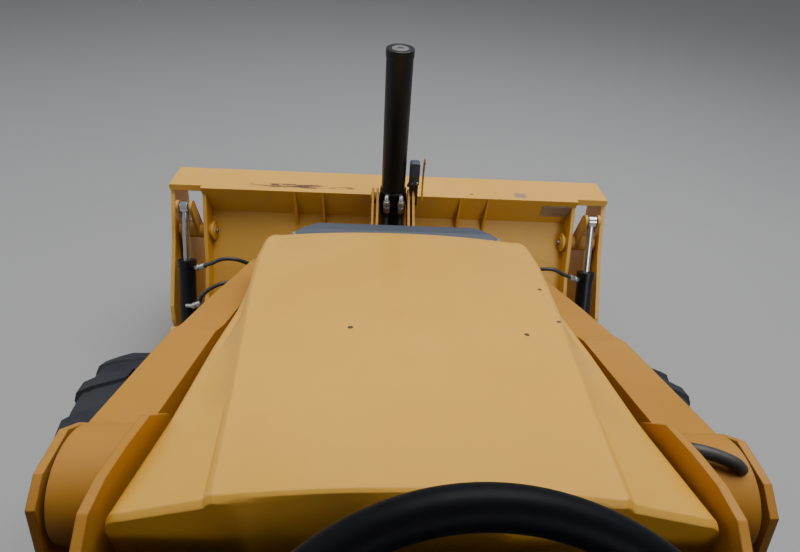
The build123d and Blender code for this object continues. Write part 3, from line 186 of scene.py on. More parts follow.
weather, given, result = new_group(
    "weathered_finish",
    [("Paint", "Color", (0.5, 0.3, 0.1, 1)), ("Faded", "Color", (0.6, 0.4, 0.2, 1)),
     ("Dust", "Color", (0.33, 0.29, 0.24, 1)), ("Dust Amount", "Float", 0.3), ("Streaks", "Float", 0.3),
     ("Gloss", "Float", 0.4)],
    [("Color", "Color"), ("Roughness", "Float"), ("Height", "Float")])
where = weather.nodes.new("ShaderNodeTexCoord").outputs["Object"]
facing = weather.nodes.new("ShaderNodeSeparateXYZ")
connect(weather, weather.nodes.new("ShaderNodeNewGeometry").outputs["Normal"], facing.inputs[0])
upward = spread(weather, facing.outputs["Z"], 0.1, 0.95)
patches = noise(weather, where, 1.7, 4.0, 0.6)
clouds = noise(weather, where, 9.0, 5.0, 0.65)
speckle = noise(weather, where, 140.0, 2.0, 0.5)
runs = noise(weather, stretched(weather, where, (22.0, 22.0, 1.6)), 1.0, 3.0, 0.6)
fading = times(weather, spread(weather, patches, 0.25, 0.8), spread(weather, upward, 0.0, 1.0, 0.35, 1.0))
colour = blended(weather, fading, given["Paint"], given["Faded"])
run_mask = times(weather, times(weather, spread(weather, runs, 0.55, 0.8), given["Streaks"]),
                 spread(weather, upward, 0.0, 1.0, 1.0, 0.15))
colour = blended(weather, times(weather, run_mask, 0.6), colour, given["Dust"])
dust_mask = times(weather, times(weather, spread(weather, clouds, 0.3, 0.75), given["Dust Amount"]),
                  spread(weather, upward, 0.0, 1.0, 0.25, 1.0))
colour = blended(weather, dust_mask, colour, given["Dust"])
connect(weather, colour, result["Color"])
dulled = times(weather, times(weather, dust_mask, 0.5), times(weather, speckle, 0.12), "ADD")
connect(weather, times(weather, given["Gloss"], dulled, "ADD"), result["Roughness"])
connect(weather, times(weather, times(weather, speckle, 0.35), times(weather, clouds, 0.2), "ADD"), result["Height"])

rub, given, result = new_group(
    "rubbed_edges",
    [("Width", "Float", 0.004), ("Amount", "Float", 0.5)], [("Mask", "Float"), ("Normal", "Vector")])
rounding = rub.nodes.new("ShaderNodeBevel")
rounding.samples = 4
connect(rub, given["Width"], rounding.inputs["Radius"])
agreement = rub.nodes.new("ShaderNodeVectorMath")
agreement.operation = "DOT_PRODUCT"
connect(rub, rounding.outputs["Normal"], agreement.inputs[0])
connect(rub, rub.nodes.new("ShaderNodeNewGeometry").outputs["True Normal"], agreement.inputs[1])
where = rub.nodes.new("ShaderNodeTexCoord").outputs["Object"]
worn_noise = spread(rub, noise(rub, where, 28.0, 4.0, 0.7), 0.42, 0.62)
edge = spread(rub, agreement.outputs["Value"], 0.99, 0.9)
connect(rub, times(rub, times(rub, edge, worn_noise), given["Amount"]), result["Mask"])
connect(rub, rounding.outputs["Normal"], result["Normal"])


def finish_material(name, paint, faded, gloss, dust=0.3, streaks=0.3, wear=0.4, under=(0.12, 0.09, 0.07, 1),
                    dust_colour=(0.30, 0.24, 0.16, 1), bump=0.04, edge_width=0.004, coat=0.0, metallic=0.0, shine=0.5):
    """A weathered finish with rounded, rubbed edges."""
    material = bpy.data.materials.new(name)
    material.use_nodes = True
    tree = material.node_tree
    shader = tree.nodes["Principled BSDF"]
    skin = tree.nodes.new("ShaderNodeGroup")
    skin.node_tree = weather
    for label, value in (("Paint", paint), ("Faded", faded), ("Dust", dust_colour), ("Dust Amount", dust),
                         ("Streaks", streaks), ("Gloss", gloss)):
        skin.inputs[label].default_value = value
    edges = tree.nodes.new("ShaderNodeGroup")
    edges.node_tree = rub
    edges.inputs["Width"].default_value = edge_width
    edges.inputs["Amount"].default_value = wear
    connect(tree, blended(tree, edges.outputs["Mask"], skin.outputs["Color"], under), shader.inputs["Base Color"])
    connect(tree, skin.outputs["Roughness"], shader.inputs["Roughness"])
    shader.inputs["Metallic"].default_value = metallic
    shader.inputs["Coat Weight"].default_value = coat
    shader.inputs["Specular IOR Level"].default_value = shine
    relief = tree.nodes.new("ShaderNodeBump")
    relief.inputs["Strength"].default_value = bump
    relief.inputs["Distance"].default_value = 0.002
    connect(tree, skin.outputs["Height"], relief.inputs["Height"])
    connect(tree, edges.outputs["Normal"], relief.inputs["Normal"])
    connect(tree, relief.outputs["Normal"], shader.inputs["Normal"])
    return material


def dress(material, *names):
    """Gives CAD nodes a finish."""
    for name in names:
        mesh = nodes[name].data
        mesh.materials.clear()
        mesh.materials.append(material)


hood_paint = finish_material("hood_paint", (0.58, 0.285, 0.020, 1), (0.66, 0.355, 0.042, 1), 0.40, dust=0.06,
                             streaks=0.1, wear=0.15, coat=0.15)
arm_paint = finish_material("arm_paint", (0.345, 0.148, 0.012, 1), (0.43, 0.200, 0.024, 1), 0.46, dust=0.06,
                            streaks=0.35, wear=0.35, shine=0.28)
digger_paint = arm_paint
black_paint = finish_material("black_paint", (0.012, 0.012, 0.013, 1), (0.02, 0.02, 0.022, 1), 0.4, dust=0.22,
                              streaks=0.3, wear=0.3, under=(0.2, 0.17, 0.14, 1))
cab_paint = finish_material("cab_paint", (0.02, 0.02, 0.022, 1), (0.035, 0.035, 0.038, 1), 0.38, dust=0.15,
                            streaks=0.2, wear=0.15, under=(0.12, 0.12, 0.12, 1))
tube_paint = finish_material("tube_paint", (0.0035, 0.0035, 0.0045, 1), (0.006, 0.006, 0.0075, 1), 0.3, dust=0.02,
                             streaks=0.04, wear=0.2, under=(0.2, 0.18, 0.16, 1), shine=0.3)
trim_plastic = finish_material("trim_plastic", (0.034, 0.043, 0.060, 1), (0.055, 0.066, 0.086, 1), 0.42, dust=0.0,
                               streaks=0.1, wear=0.0)
chrome_rod = finish_material("chrome_rod", (0.55, 0.56, 0.58, 1), (0.5, 0.51, 0.53, 1), 0.12, dust=0.05,
                             streaks=0.05, wear=0.0, metallic=1.0, bump=0.01)
tyre_rubber = finish_material("tyre_rubber", (0.008, 0.011, 0.017, 1), (0.016, 0.020, 0.029, 1), 0.62, dust=0.04,
                              streaks=0.1, wear=0.2, under=(0.060, 0.062, 0.065, 1), bump=0.15, shine=0.3)
rim_paint = finish_material("rim_paint", (0.40, 0.20, 0.04, 1), (0.48, 0.28, 0.09, 1), 0.5, dust=0.4, streaks=0.3,
                            wear=0.3)
seat_cloth = finish_material("seat_cloth", (0.02, 0.021, 0.024, 1), (0.035, 0.036, 0.04, 1), 0.85, dust=0.15,
                             streaks=0.0, wear=0.0, bump=0.3)
grained_black = finish_material("grained_black", (0.0025, 0.003, 0.0055, 1), (0.005, 0.006, 0.009, 1), 0.42,
                                dust=0.0, streaks=0.0, wear=0.0, bump=0.25, shine=0.13)

clear_glass = bpy.data.materials.new("clear_glass")
clear_glass.use_nodes = True
pane_shader = clear_glass.node_tree.nodes["Principled BSDF"]
pane_shader.inputs["Base Color"].default_value = (0.96, 0.98, 0.98, 1)
pane_shader.inputs["Roughness"].default_value = 0.0
pane_shader.inputs["IOR"].default_value = 1.0
pane_shader.inputs["Transmission Weight"].default_value = 1.0
pane_shader.inputs["Alpha"].default_value = 0.08

yellow_nodes = ["loader_towers", "loader_arms", "torque_tube", "loader_bucket", "bucket_jaw", "rear_fenders",
                "kingpost", "boom", "stick", "hoe_bucket", "bucket_rocker", "bucket_link", "swing_carriage",
                "cab_roof"]
dress(arm_paint, *yellow_nodes)
dress(hood_paint, "hood")
dress(trim_plastic, "front_trim", "front_grille")
dress(black_paint, "main_frame", "engine_block", "front_axle", "rear_axle", "steering_rod", "knuckle_left",
      "knuckle_right", "side_tanks", "slide_frame", "stabiliser_left", "stabiliser_right")
dress(cab_paint, "cab_frame", "door_left", "door_right", "control_stands")
dress(tube_paint, *[n for n in nodes if n.endswith("cylinder_tube") or n.endswith("cylinder_tubes")])
dress(chrome_rod, *[n for n in nodes if n.endswith("cylinder_rod") or n.endswith("cylinder_rods")
                    or n.startswith("swing_rod")])
dress(tyre_rubber, *[n for n in nodes if "_tyre_" in n])
dress(rim_paint, *[n for n in nodes if "_rim_" in n])
dress(seat_cloth, "operator_seat")
dress(grained_black, "steering_wheel")
dress(clear_glass, "cab_glass", "door_glass_left", "door_glass_right")

# Hood: one pressed steel shell, crowned along the middle, with a crease down each
# side and flat shoulders outside them. It follows the CAD hood's corners.
hood_low, hood_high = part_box("hood")
hood_pitch = 0.2985
hood_crown = 0.030
hood_rear_f, hood_rear_height = 1.390, 1.721
hood_edge_round = 0.03
crease_rise = 0.006


def forward_y(f):
    """Turns a distance forward of the rear axle into the frame's Y."""
    return rear_axle_y + f


def mesh_piece(name, vertices, faces, material, body, smooth_angle=30):
    """A mesh object with its place in its vertices. It rides on a body, or on none if it runs between two."""
    mesh = bpy.data.meshes.new(name)
    mesh.from_pydata([tuple(v) for v in vertices], [], faces)
    build = bmesh.new()
    build.from_mesh(mesh)
    bmesh.ops.remove_doubles(build, verts=build.verts, dist=1e-5)
    bmesh.ops.recalc_face_normals(build, faces=build.faces)
    build.to_mesh(mesh)
    build.free()
    mesh.materials.append(material)
    piece = bpy.data.objects.new(name, mesh)
    bpy.context.scene.collection.objects.link(piece)
    for face in mesh.polygons:
        face.use_smooth = True
    mesh.set_sharp_from_angle(angle=math.radians(smooth_angle))
    if body:
        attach(piece, body)
    return piece


def loft_faces(rows, columns, closed=False):
    """Quads between successive rows of equally many points."""
    faces = []
    span = columns if closed else columns - 1
    for r in range(rows - 1):
        for c in range(span):
            d = (c + 1) % columns
            faces.append((r * columns + c, r * columns + d, (r + 1) * columns + d, (r + 1) * columns + c))
    return faces


def tube_points(path, radius, sides=12):
    """Rings round a path, carried along without twisting."""
    rings = []
    path = [Vector(p) for p in path]
    side = None
    for i, p in enumerate(path):
        along = (path[min(i + 1, len(path) - 1)] - path[max(i - 1, 0)]).normalized()
        if side is None:
            side = along.orthogonal().normalized()
        side = (side - along * side.dot(along)).normalized()
        other = along.cross(side)
        rings += [p + (side * math.cos(a) + other * math.sin(a)) * radius
                  for a in (2 * math.pi * k / sides for k in range(sides))]
    return rings


def smooth_path(points, steps=8):
    """A Catmull-Rom curve through the points."""
    points = [Vector(p) for p in points]
    ends = [points[0] * 2 - points[1]] + points + [points[-1] * 2 - points[-2]]
    out = []
    for i in range(1, len(ends) - 2):
        a, b, c, d = ends[i - 1:i + 3]
        for k in range(steps):
            t = k / steps
            out.append(0.5 * ((2 * b) + (c - a) * t + (2 * a - 5 * b + 4 * c - d) * t * t
                              + (3 * b - a - 3 * c + d) * t ** 3))
    return out + [points[-1]]


def pipe(name, points, radius, material, body, sides=12, steps=8):
    """A round bar or hose along a smooth path, closed at both ends."""
    path = smooth_path(points, steps) if len(points) > 2 else [Vector(p) for p in points]
    rings = tube_points(path, radius, sides)
    faces = loft_faces(len(path), sides, closed=True)
    faces += [tuple(range(sides)), tuple((len(path) - 1) * sides + k for k in range(sides))]
    return mesh_piece(name, rings, faces, material, body, 40)


def turned_piece(name, profile, origin, axis, material, body, sides=40, smooth_angle=35):
    """A closed profile of (along, radius) turned about an axis."""
    axis = Vector(axis).normalized()
    side = axis.orthogonal().normalized()
    other = axis.cross(side)
    points = []
    for along, radius in profile:
        for k in range(sides):
            a = 2 * math.pi * k / sides
            points.append(Vector(origin) + axis * along + (side * math.cos(a) + other * math.sin(a)) * radius)
    faces = loft_faces(len(profile), sides, closed=True)
    faces += [tuple(range(sides)), tuple((len(profile) - 1) * sides + k for k in range(sides))]
    return mesh_piece(name, points, faces, material, body, smooth_angle)


hood_table = [
    # forward, crease half width, outer half width, shoulder drop
    (1.390, 0.300, 0.462, 0.044), (1.640, 0.337, 0.462, 0.056), (1.900, 0.380, 0.462, 0.046),
    (2.110, 0.414, 0.455, 0.040), (2.410, 0.455, 0.464, 0.030), (2.600, 0.466, 0.474, 0.026),
]
nose_start, nose_end = 2.600, 2.692
nose_half_width = 0.408
nose_round = 0.034
crown_steps = 10


def hood_at(f):
    """Crease and outer half widths and the shoulder's drop at a distance forward."""
    for a, b in zip(hood_table, hood_table[1:]):
        if f <= b[0] + 1e-6:
            t = (f - a[0]) / (b[0] - a[0])
            return [p + (q - p) * t for p, q in zip(a[1:], b[1:])]
    return list(hood_table[-1][1:])


def hood_row(f, sink=0.0):
    crease, outer, drop = hood_at(min(f, nose_start))
    height = hood_rear_height - hood_pitch * (f - hood_rear_f) - sink
    if f > nose_start:
        t = (f - nose_start) / (nose_end - nose_start)
        bulge = math.sqrt(max(1 - t ** 2.4, 0))
        outer = nose_half_width + (outer - nose_half_width) * bulge
        crease = min(crease, outer - 0.010)
        height -= nose_round * (1 - math.sqrt(max(1 - t * t, 0)))
    round_size = min(hood_edge_round, (outer - crease) * 0.6 + 0.006)
    shoulder = height - drop
    right = [(outer, hood_low[2] + 0.0), (outer, shoulder - round_size * 2.5), (outer, shoulder - round_size)]
    for k in (1, 2, 3):
        a = math.radians(90 * k / 4)
        right.append((outer - round_size * (1 - math.cos(a)), shoulder - round_size * (1 - math.sin(a))))
    right.append((outer - round_size, shoulder))
    right.append((crease + 0.010, height - drop * 0.10 - 0.003))
    right.append((crease + 0.003, height + crease_rise * 0.3))
    right.append((crease - 0.004, height + crease_rise))
    right.append((crease - 0.014, height + crease_rise * 0.75))
    inner = crease - 0.014
    for k in range(1, crown_steps):
        x = inner * (1 - k / crown_steps)
        right.append((x, height + crease_rise * 0.75 + (hood_crown - crease_rise * 0.75) * (1 - (x / inner) ** 2)))
    right.append((0.0, height + hood_crown))
    left = [(-x, z) for x, z in reversed(right[:-1])]
    return [(x, forward_y(f), z) for x, z in right + left]


hood_rows = [hood_row(hood_rear_f + 0.004, 0.006)]
hood_rows += [hood_row(hood_rear_f + 0.010 + (nose_start - hood_rear_f - 0.010) * k / 24) for k in range(25)]
hood_rows += [hood_row(nose_start + (nose_end - nose_start) * k) for k in (0.25, 0.5, 0.7, 0.85, 0.94, 0.985, 1.0)]
last = hood_rows[-1]
hood_rows.append([(x, y, hood_low[2]) for x, y, z in last])
rear_wall = [(x, forward_y(hood_rear_f), min(z, hood_rear_height) - 0.004) for x, y, z in hood_rows[0]]
rear_foot = [(x, forward_y(hood_rear_f), hood_low[2]) for x, y, z in hood_rows[0]]
hood_rows = [rear_foot, rear_wall] + hood_rows
columns = len(hood_rows[0])
hood_skin = mesh_piece("hood_skin", [v for row in hood_rows for v in row], loft_faces(len(hood_rows), columns),
                       hood_paint, "hood", 28)
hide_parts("hood")

# Tyres: coarse rubber lugs set in a herringbone on a round-shouldered carcass.
# The lugs are one short bar, placed round the tread on both halves.
tyre_sizes = {
    # axle: tyre radius, width, rim radius, lugs a side, lug depth, lug breadth
    "front": (0.485, 0.330, 0.232, 18, 0.020, 0.062), "rear": (0.700, 0.430, 0.345, 20, 0.030, 0.075),
}


def tyre_half_profile(radius, width, rim_radius):
    half = width / 2
    wall = radius - rim_radius
    return [(0.74, rim_radius + 0.001), (0.84, rim_radius + wall * 0.05), (0.90, rim_radius + wall * 0.14),
            (0.965, rim_radius + wall * 0.32), (1.0, rim_radius + wall * 0.55), (0.985, rim_radius + wall * 0.74),
            (0.93, radius * 0.925), (0.84, radius * 0.951), (0.60, radius * 0.966), (0.0, radius * 0.972)], half


def lug_tree(name, material):
    """Geometry Nodes: a tapered bar repeated round an axle, two opposite rows."""
    tree = bpy.data.node_groups.new(name, "GeometryNodeTree")
    for label, kind in (("Lug", "NodeSocketObject"), ("Count", "NodeSocketInt")):
        tree.interface.new_socket(name=label, in_out="INPUT", socket_type=kind)
    tree.interface.new_socket(name="Geometry", in_out="OUTPUT", socket_type="NodeSocketGeometry")
    given = tree.nodes.new("NodeGroupInput").outputs
    info = tree.nodes.new("GeometryNodeObjectInfo")
    tree.links.new(given["Lug"], info.inputs["Object"])
    info.inputs["As Instance"].default_value = True
    row = tree.nodes.new("GeometryNodeMeshLine")
    row.mode = "OFFSET"
    tree.links.new(given["Count"], row.inputs["Count"])
    row.inputs["Offset"].default_value = (0, 0, 0)
    place = tree.nodes.new("GeometryNodeInstanceOnPoints")
    tree.links.new(row.outputs["Mesh"], place.inputs["Points"])
    tree.links.new(info.outputs["Geometry"], place.inputs["Instance"])
    index = tree.nodes.new("GeometryNodeInputIndex")
    step = tree.nodes.new("ShaderNodeMath")
    step.operation = "DIVIDE"
    step.inputs[0].default_value = 2 * math.pi
    tree.links.new(given["Count"], step.inputs[1])
    angle = tree.nodes.new("ShaderNodeMath")
    angle.operation = "MULTIPLY"
    tree.links.new(index.outputs["Index"], angle.inputs[0])
    tree.links.new(step.outputs[0], angle.inputs[1])
    euler = tree.nodes.new("ShaderNodeCombineXYZ")
    tree.links.new(angle.outputs[0], euler.inputs["X"])
    tree.links.new(euler.outputs[0], place.inputs["Rotation"])
    real = tree.nodes.new("GeometryNodeRealizeInstances")
    tree.links.new(place.outputs["Instances"], real.inputs[0])
    skin = tree.nodes.new("GeometryNodeSetMaterial")
    skin.inputs["Material"].default_value = material
    tree.links.new(real.outputs[0], skin.inputs["Geometry"])
    tree.links.new(skin.outputs[0], tree.nodes.new("NodeGroupOutput").inputs[0])
    return tree


def input_name(tree, label):
    return next(item.identifier for item in tree.interface.items_tree
                if item.name == label and item.in_out == "INPUT")


def grown(carrier, tree, values):
    """Runs a Geometry Nodes tree on an object and gives back the plain mesh."""
    modifier = carrier.modifiers.new("grow", "NODES")
    modifier.node_group = tree
    for label, value in values.items():
        modifier[input_name(tree, label)] = value
    bpy.context.view_layer.update()
    made = bpy.data.meshes.new_from_object(carrier.evaluated_get(bpy.context.evaluated_depsgraph_get()))
    carrier.modifiers.remove(modifier)
    return made


def lug_shape(radius, half, depth, breadth):
    """Both halves' lugs at the top of a wheel, slanted and wrapped over the shoulder."""
    top, faces = [], []
    slant = breadth * 1.15
    spine = [(0.015, radius * 0.960, 0.0), (half * 0.35, radius * 0.955, 0.35), (half * 0.72, radius * 0.945, 0.75),
             (half * 0.95, radius * 0.915, 1.0), (half * 1.0, radius * 0.865, 1.12), (half * 0.995, radius * 0.83, 1.16)]
    crest = [(0.015, radius - 0.001, 0.0), (half * 0.35, radius - 0.002, 0.35), (half * 0.72, radius * 0.992, 0.75),
             (half * 0.975, radius * 0.962, 1.0), (half * 1.04, radius * 0.90, 1.12), (half * 1.0, radius * 0.835, 1.16)]
    vertices = []
    for sign in (1, -1):
        start = len(vertices)
        for (x0, r0, s0), (x1, r1, s1) in zip(spine, crest):
            shift = slant * s0 + (breadth * 0.75 if sign < 0 else 0)
            for r, x, spread_out in ((r0, x0, 0.62), (r1, x1, 0.44), (r1, x1, -0.44), (r0, x0, -0.62)):
                swing = (shift + breadth * spread_out) / radius
                vertices.append((sign * x, -r * math.sin(swing), r * math.cos(swing)))
        rows = len(spine)
        for r in range(rows - 1):
            for c in range(3):
                a = start + r * 4 + c
                faces.append((a, a + 1, a + 5, a + 4))
        faces.append(tuple(start + c for c in range(4)))
        faces.append(tuple(start + (rows - 1) * 4 + c for c in range(4)))
    mesh = bpy.data.meshes.new("lug")
    mesh.from_pydata(vertices, [], faces)
    return bpy.data.objects.new("lug", mesh)


lugs_tree = lug_tree("tyre_lugs", tyre_rubber)
for end, (radius, width, rim_radius, count, depth, breadth) in tyre_sizes.items():
    half_profile, half = tyre_half_profile(radius, width, rim_radius)
    profile = [(-x * half, r) for x, r in half_profile] + [(x * half, r) for x, r in reversed(half_profile[:-1])]
    sides = 72
    carcass_faces = loft_faces(len(profile) + 1, sides, closed=True)
    for side in ("left", "right"):
        hub = centre(end + "_tyre_" + side)
        lug = lug_shape(radius, half, depth, breadth)
        bpy.context.scene.collection.objects.link(lug)
        carrier = bpy.data.objects.new("carrier", bpy.data.meshes.new("carrier"))
        bpy.context.scene.collection.objects.link(carrier)
        lugs = grown(carrier, lugs_tree, {"Lug": lug, "Count": count})
        build = bmesh.new()
        build.from_mesh(lugs)
        ring = [[build.verts.new((x, r * math.cos(2 * math.pi * k / sides), r * math.sin(2 * math.pi * k / sides)))
                 for k in range(sides)] for x, r in profile]
        ring.append(ring[0])
        for a, b in zip(ring, ring[1:]):
            for k in range(sides):
                m = (k + 1) % sides
                build.faces.new((a[k], a[m], b[m], b[k]))
        bmesh.ops.translate(build, verts=build.verts, vec=hub)
        bmesh.ops.recalc_face_normals(build, faces=build.faces)
        tread = bpy.data.meshes.new(end + "_tread_" + side)
        build.to_mesh(tread)
        build.free()
        tread.materials.clear()
        tread.materials.append(tyre_rubber)
        for face in tread.polygons:
            face.use_smooth = True
            face.material_index = 0
        tread.set_sharp_from_angle(angle=math.radians(32))
        tyre = bpy.data.objects.new(end + "_tread_" + side, tread)
        bpy.context.scene.collection.objects.link(tyre)
        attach(tyre, end + "_wheel_" + side)
        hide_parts(end + "_tyre_" + side)
        for spare in (lug, carrier):
            bpy.data.objects.remove(spare)
# Loader bucket: welded plate, its beam scratched along the top and its inside
# scraped by soil. A blank rating plate is riveted to the beam's rear face.


def placed(x, f, z):
    """Millimetres right, forward of the rear axle and up, as a point of the frame."""
    return Vector((x / 1000, rear_axle_y + f / 1000, z / 1000))


def band(tree, value, low, high, soft):
    """1 between two values, falling off softly outside them."""
    rising = spread(tree, value, low - soft, low)
    return times(tree, rising, spread(tree, value, high, high + soft, 1.0, 0.0))


def stain(material, colour, build_mask):
    """Lays a masked colour over a finish."""
    tree = material.node_tree
    base = tree.nodes["Principled BSDF"].inputs["Base Color"]
    under = base.links[0].from_socket
    mask = build_mask(tree, tree.nodes.new("ShaderNodeTexCoord").outputs["Object"])
    connect(tree, blended(tree, mask, under, colour), base)


def marked(x_range, f_range, soft, scale, cut):
    """A noisy patch between two X and two forward values, on the beam's top."""
    def build(tree, where):
        parts = tree.nodes.new("ShaderNodeSeparateXYZ")
        connect(tree, where, parts.inputs[0])
        across = band(tree, parts.outputs["X"], x_range[0], x_range[1], soft * 2)
        along = band(tree, parts.outputs["Y"], forward_y(f_range[0]), forward_y(f_range[1]), soft)
        grain = spread(tree, noise(tree, stretched(tree, where, scale), 1.0, 5.0, 0.7), cut, cut + 0.08)
        top = spread(tree, parts.outputs["Z"], 1.02, 1.03)
        return times(tree, times(tree, times(tree, across, along), grain), top)
    return build


def scraped_inside(tree, where):
    """Bare steel on the faces that look forward into the bowl, and low down."""
    facing = tree.nodes.new("ShaderNodeSeparateXYZ")
    connect(tree, tree.nodes.new("ShaderNodeNewGeometry").outputs["Normal"], facing.inputs[0])
    parts = tree.nodes.new("ShaderNodeSeparateXYZ")
    connect(tree, where, parts.inputs[0])
    inner = spread(tree, facing.outputs["Y"], 0.1, 0.4)
    low_down = spread(tree, parts.outputs["Z"], 0.95, 0.55)
    grain = spread(tree, noise(tree, stretched(tree, where, (5.0, 5.0, 1.2)), 1.0, 6.0, 0.7), 0.34, 0.55)
    return times(tree, times(tree, times(tree, inner, low_down), grain), 0.85)


bucket_paint = finish_material("bucket_paint", (0.60, 0.305, 0.032, 1), (0.69, 0.375, 0.055, 1), 0.42, dust=0.08,
                               streaks=0.35, wear=0.4)
scratch_colour = (0.085, 0.032, 0.028, 1)
rub_colour = (0.25, 0.17, 0.12, 1)
scraped_steel = (0.16, 0.135, 0.115, 1)
stain(bucket_paint, scraped_steel, scraped_inside)
stain(bucket_paint, scratch_colour, marked((-0.79, -0.22), (3.612, 3.634), 0.008, (7.0, 70.0, 1.0), 0.47))
stain(bucket_paint, scratch_colour, marked((-0.66, -0.40), (3.606, 3.640), 0.010, (16.0, 50.0, 1.0), 0.44))
stain(bucket_paint, rub_colour, marked((0.690, 0.738), (3.590, 3.634), 0.008, (30.0, 60.0, 1.0), 0.36))
stain(bucket_paint, scratch_colour, marked((0.434, 0.446), (3.603, 3.612), 0.004, (40.0, 40.0, 1.0), 0.3))
dress(bucket_paint, "loader_bucket")
jaw_paint = finish_material("jaw_paint", (0.44, 0.205, 0.022, 1), (0.54, 0.27, 0.040, 1), 0.45, dust=0.35,
                            streaks=0.4, wear=0.6)
dress(jaw_paint, "bucket_jaw")
bare_steel = finish_material("bare_steel", (0.23, 0.21, 0.19, 1), (0.30, 0.28, 0.26, 1), 0.38, dust=0.25,
                             streaks=0.2, wear=0.5, under=(0.4, 0.38, 0.36, 1), metallic=0.7)
plated_steel = finish_material("plated_steel", (0.42, 0.42, 0.40, 1), (0.34, 0.33, 0.30, 1), 0.3, dust=0.15,
                               streaks=0.0, wear=0.0, metallic=0.9, bump=0.02)


def block_mesh(vertices, faces):
    mesh = bpy.data.meshes.new("shape")
    mesh.from_pydata([tuple(v) for v in vertices], [], faces)
    return mesh


def plate_piece(name, outline, thickness, material, body, edge=0.0012, smooth_angle=30):
    """A flat plate from its outline corners, grown backwards along its normal, with eased edges."""
    outline = [Vector(p) for p in outline]
    normal = (outline[1] - outline[0]).cross(outline[2] - outline[1]).normalized()
    n = len(outline)
    vertices = outline + [p - normal * thickness for p in outline]
    faces = [tuple(range(n)), tuple(reversed(range(n, 2 * n)))]
    faces += [(i, n + i, n + (i + 1) % n, (i + 1) % n) for i in range(n)]
    piece = mesh_piece(name, vertices, faces, material, body, smooth_angle)
    if edge:
        ease = piece.modifiers.new("ease", "BEVEL")
        ease.width, ease.segments, ease.limit_method = edge, 2, "ANGLE"
    return piece


def hex_head(radius, height):
    """A chamfered hexagon head on its washer, standing on the XY plane."""
    sides = 24
    rows = []
    for z, size, hexed in ((0, 1.42, 0), (0.22, 1.42, 0), (0.22, 1.0, 1), (0.88, 1.0, 1), (1.0, 0.84, 0)):
        ring = []
        for k in range(sides):
            a = 2 * math.pi * k / sides
            flat = math.cos(math.pi / 6) / math.cos(a % (math.pi / 3) - math.pi / 6) if hexed else 1.0
            ring.append((radius * size * flat * math.cos(a), radius * size * flat * math.sin(a), z * height))
        rows += ring
    faces = loft_faces(5, sides, closed=True) + [tuple(reversed(range(sides))),
                                                  tuple(4 * sides + k for k in range(sides))]
    return block_mesh(rows, faces)


def round_head(radius, height, sides=16):
    """A domed rivet head standing on the XY plane."""
    rows = []
    for z, size in ((0, 1.0), (0.35, 0.97), (0.75, 0.72), (0.95, 0.36), (1.0, 0.08)):
        rows += [(radius * size * math.cos(2 * math.pi * k / sides), radius * size * math.sin(2 * math.pi * k / sides),
                  z * height) for k in range(sides)]
    faces = loft_faces(5, sides, closed=True) + [tuple(reversed(range(sides))),
                                                  tuple(4 * sides + k for k in range(sides))]
    return block_mesh(rows, faces)


def fastener_tree():
    """Geometry Nodes: one fastener on each point of a pattern, turned by its own angle."""
    tree = bpy.data.node_groups.new("fastener_pattern", "GeometryNodeTree")
    for label, kind in (("Geometry", "NodeSocketGeometry"), ("Fastener", "NodeSocketObject"),
                        ("Finish", "NodeSocketMaterial")):
        tree.interface.new_socket(name=label, in_out="INPUT", socket_type=kind)
    tree.interface.new_socket(name="Geometry", in_out="OUTPUT", socket_type="NodeSocketGeometry")
    given = tree.nodes.new("NodeGroupInput").outputs
    info = tree.nodes.new("GeometryNodeObjectInfo")
    info.inputs["As Instance"].default_value = True
    tree.links.new(given["Fastener"], info.inputs["Object"])
    turn = tree.nodes.new("GeometryNodeInputNamedAttribute")
    turn.data_type = "FLOAT_VECTOR"
    turn.inputs["Name"].default_value = "turn"
    place = tree.nodes.new("GeometryNodeInstanceOnPoints")
    tree.links.new(given["Geometry"], place.inputs["Points"])
    tree.links.new(info.outputs["Geometry"], place.inputs["Instance"])
    tree.links.new(turn.outputs["Attribute"], place.inputs["Rotation"])
    real = tree.nodes.new("GeometryNodeRealizeInstances")
    tree.links.new(place.outputs["Instances"], real.inputs[0])
    skin = tree.nodes.new("GeometryNodeSetMaterial")
    tree.links.new(given["Finish"], skin.inputs["Material"])
    tree.links.new(real.outputs[0], skin.inputs["Geometry"])
    tree.links.new(skin.outputs[0], tree.nodes.new("NodeGroupOutput").inputs[0])
    return tree


pattern_tree = fastener_tree()


def fastened(name, shape, places, material, body, smooth_angle=40):
    """Copies of a fastener at (point, direction it stands along), as one piece."""
    pattern = bpy.data.meshes.new("pattern")
    pattern.from_pydata([tuple(p) for p, d in places], [], [])
    turn = pattern.attributes.new("turn", "FLOAT_VECTOR", "POINT")
    for entry, (p, d) in zip(turn.data, places):
        entry.vector = Vector(d).to_track_quat("Z", "X").to_euler()
    carrier = bpy.data.objects.new("pattern", pattern)
    model = bpy.data.objects.new("fastener", shape)
    for helper in (carrier, model):
        bpy.context.scene.collection.objects.link(helper)
    made = grown(carrier, pattern_tree, {"Fastener": model, "Finish": material})
    made.name = name
    for face in made.polygons:
        face.use_smooth = True
    made.set_sharp_from_angle(angle=math.radians(smooth_angle))
    piece = bpy.data.objects.new(name, made)
    bpy.context.scene.collection.objects.link(piece)
    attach(piece, body)
    for helper in (carrier, model):
        bpy.data.objects.remove(helper)
    return piece


def on_beam_rear(x, down, proud=0.0):
    """A point on the beam's sloping rear face, so far below its top edge."""
    f, z = 3560 + 0.4024 * down - 0.9155 * proud, 1035 - 0.9155 * down - 0.4024 * proud
    return placed(x, f, z)


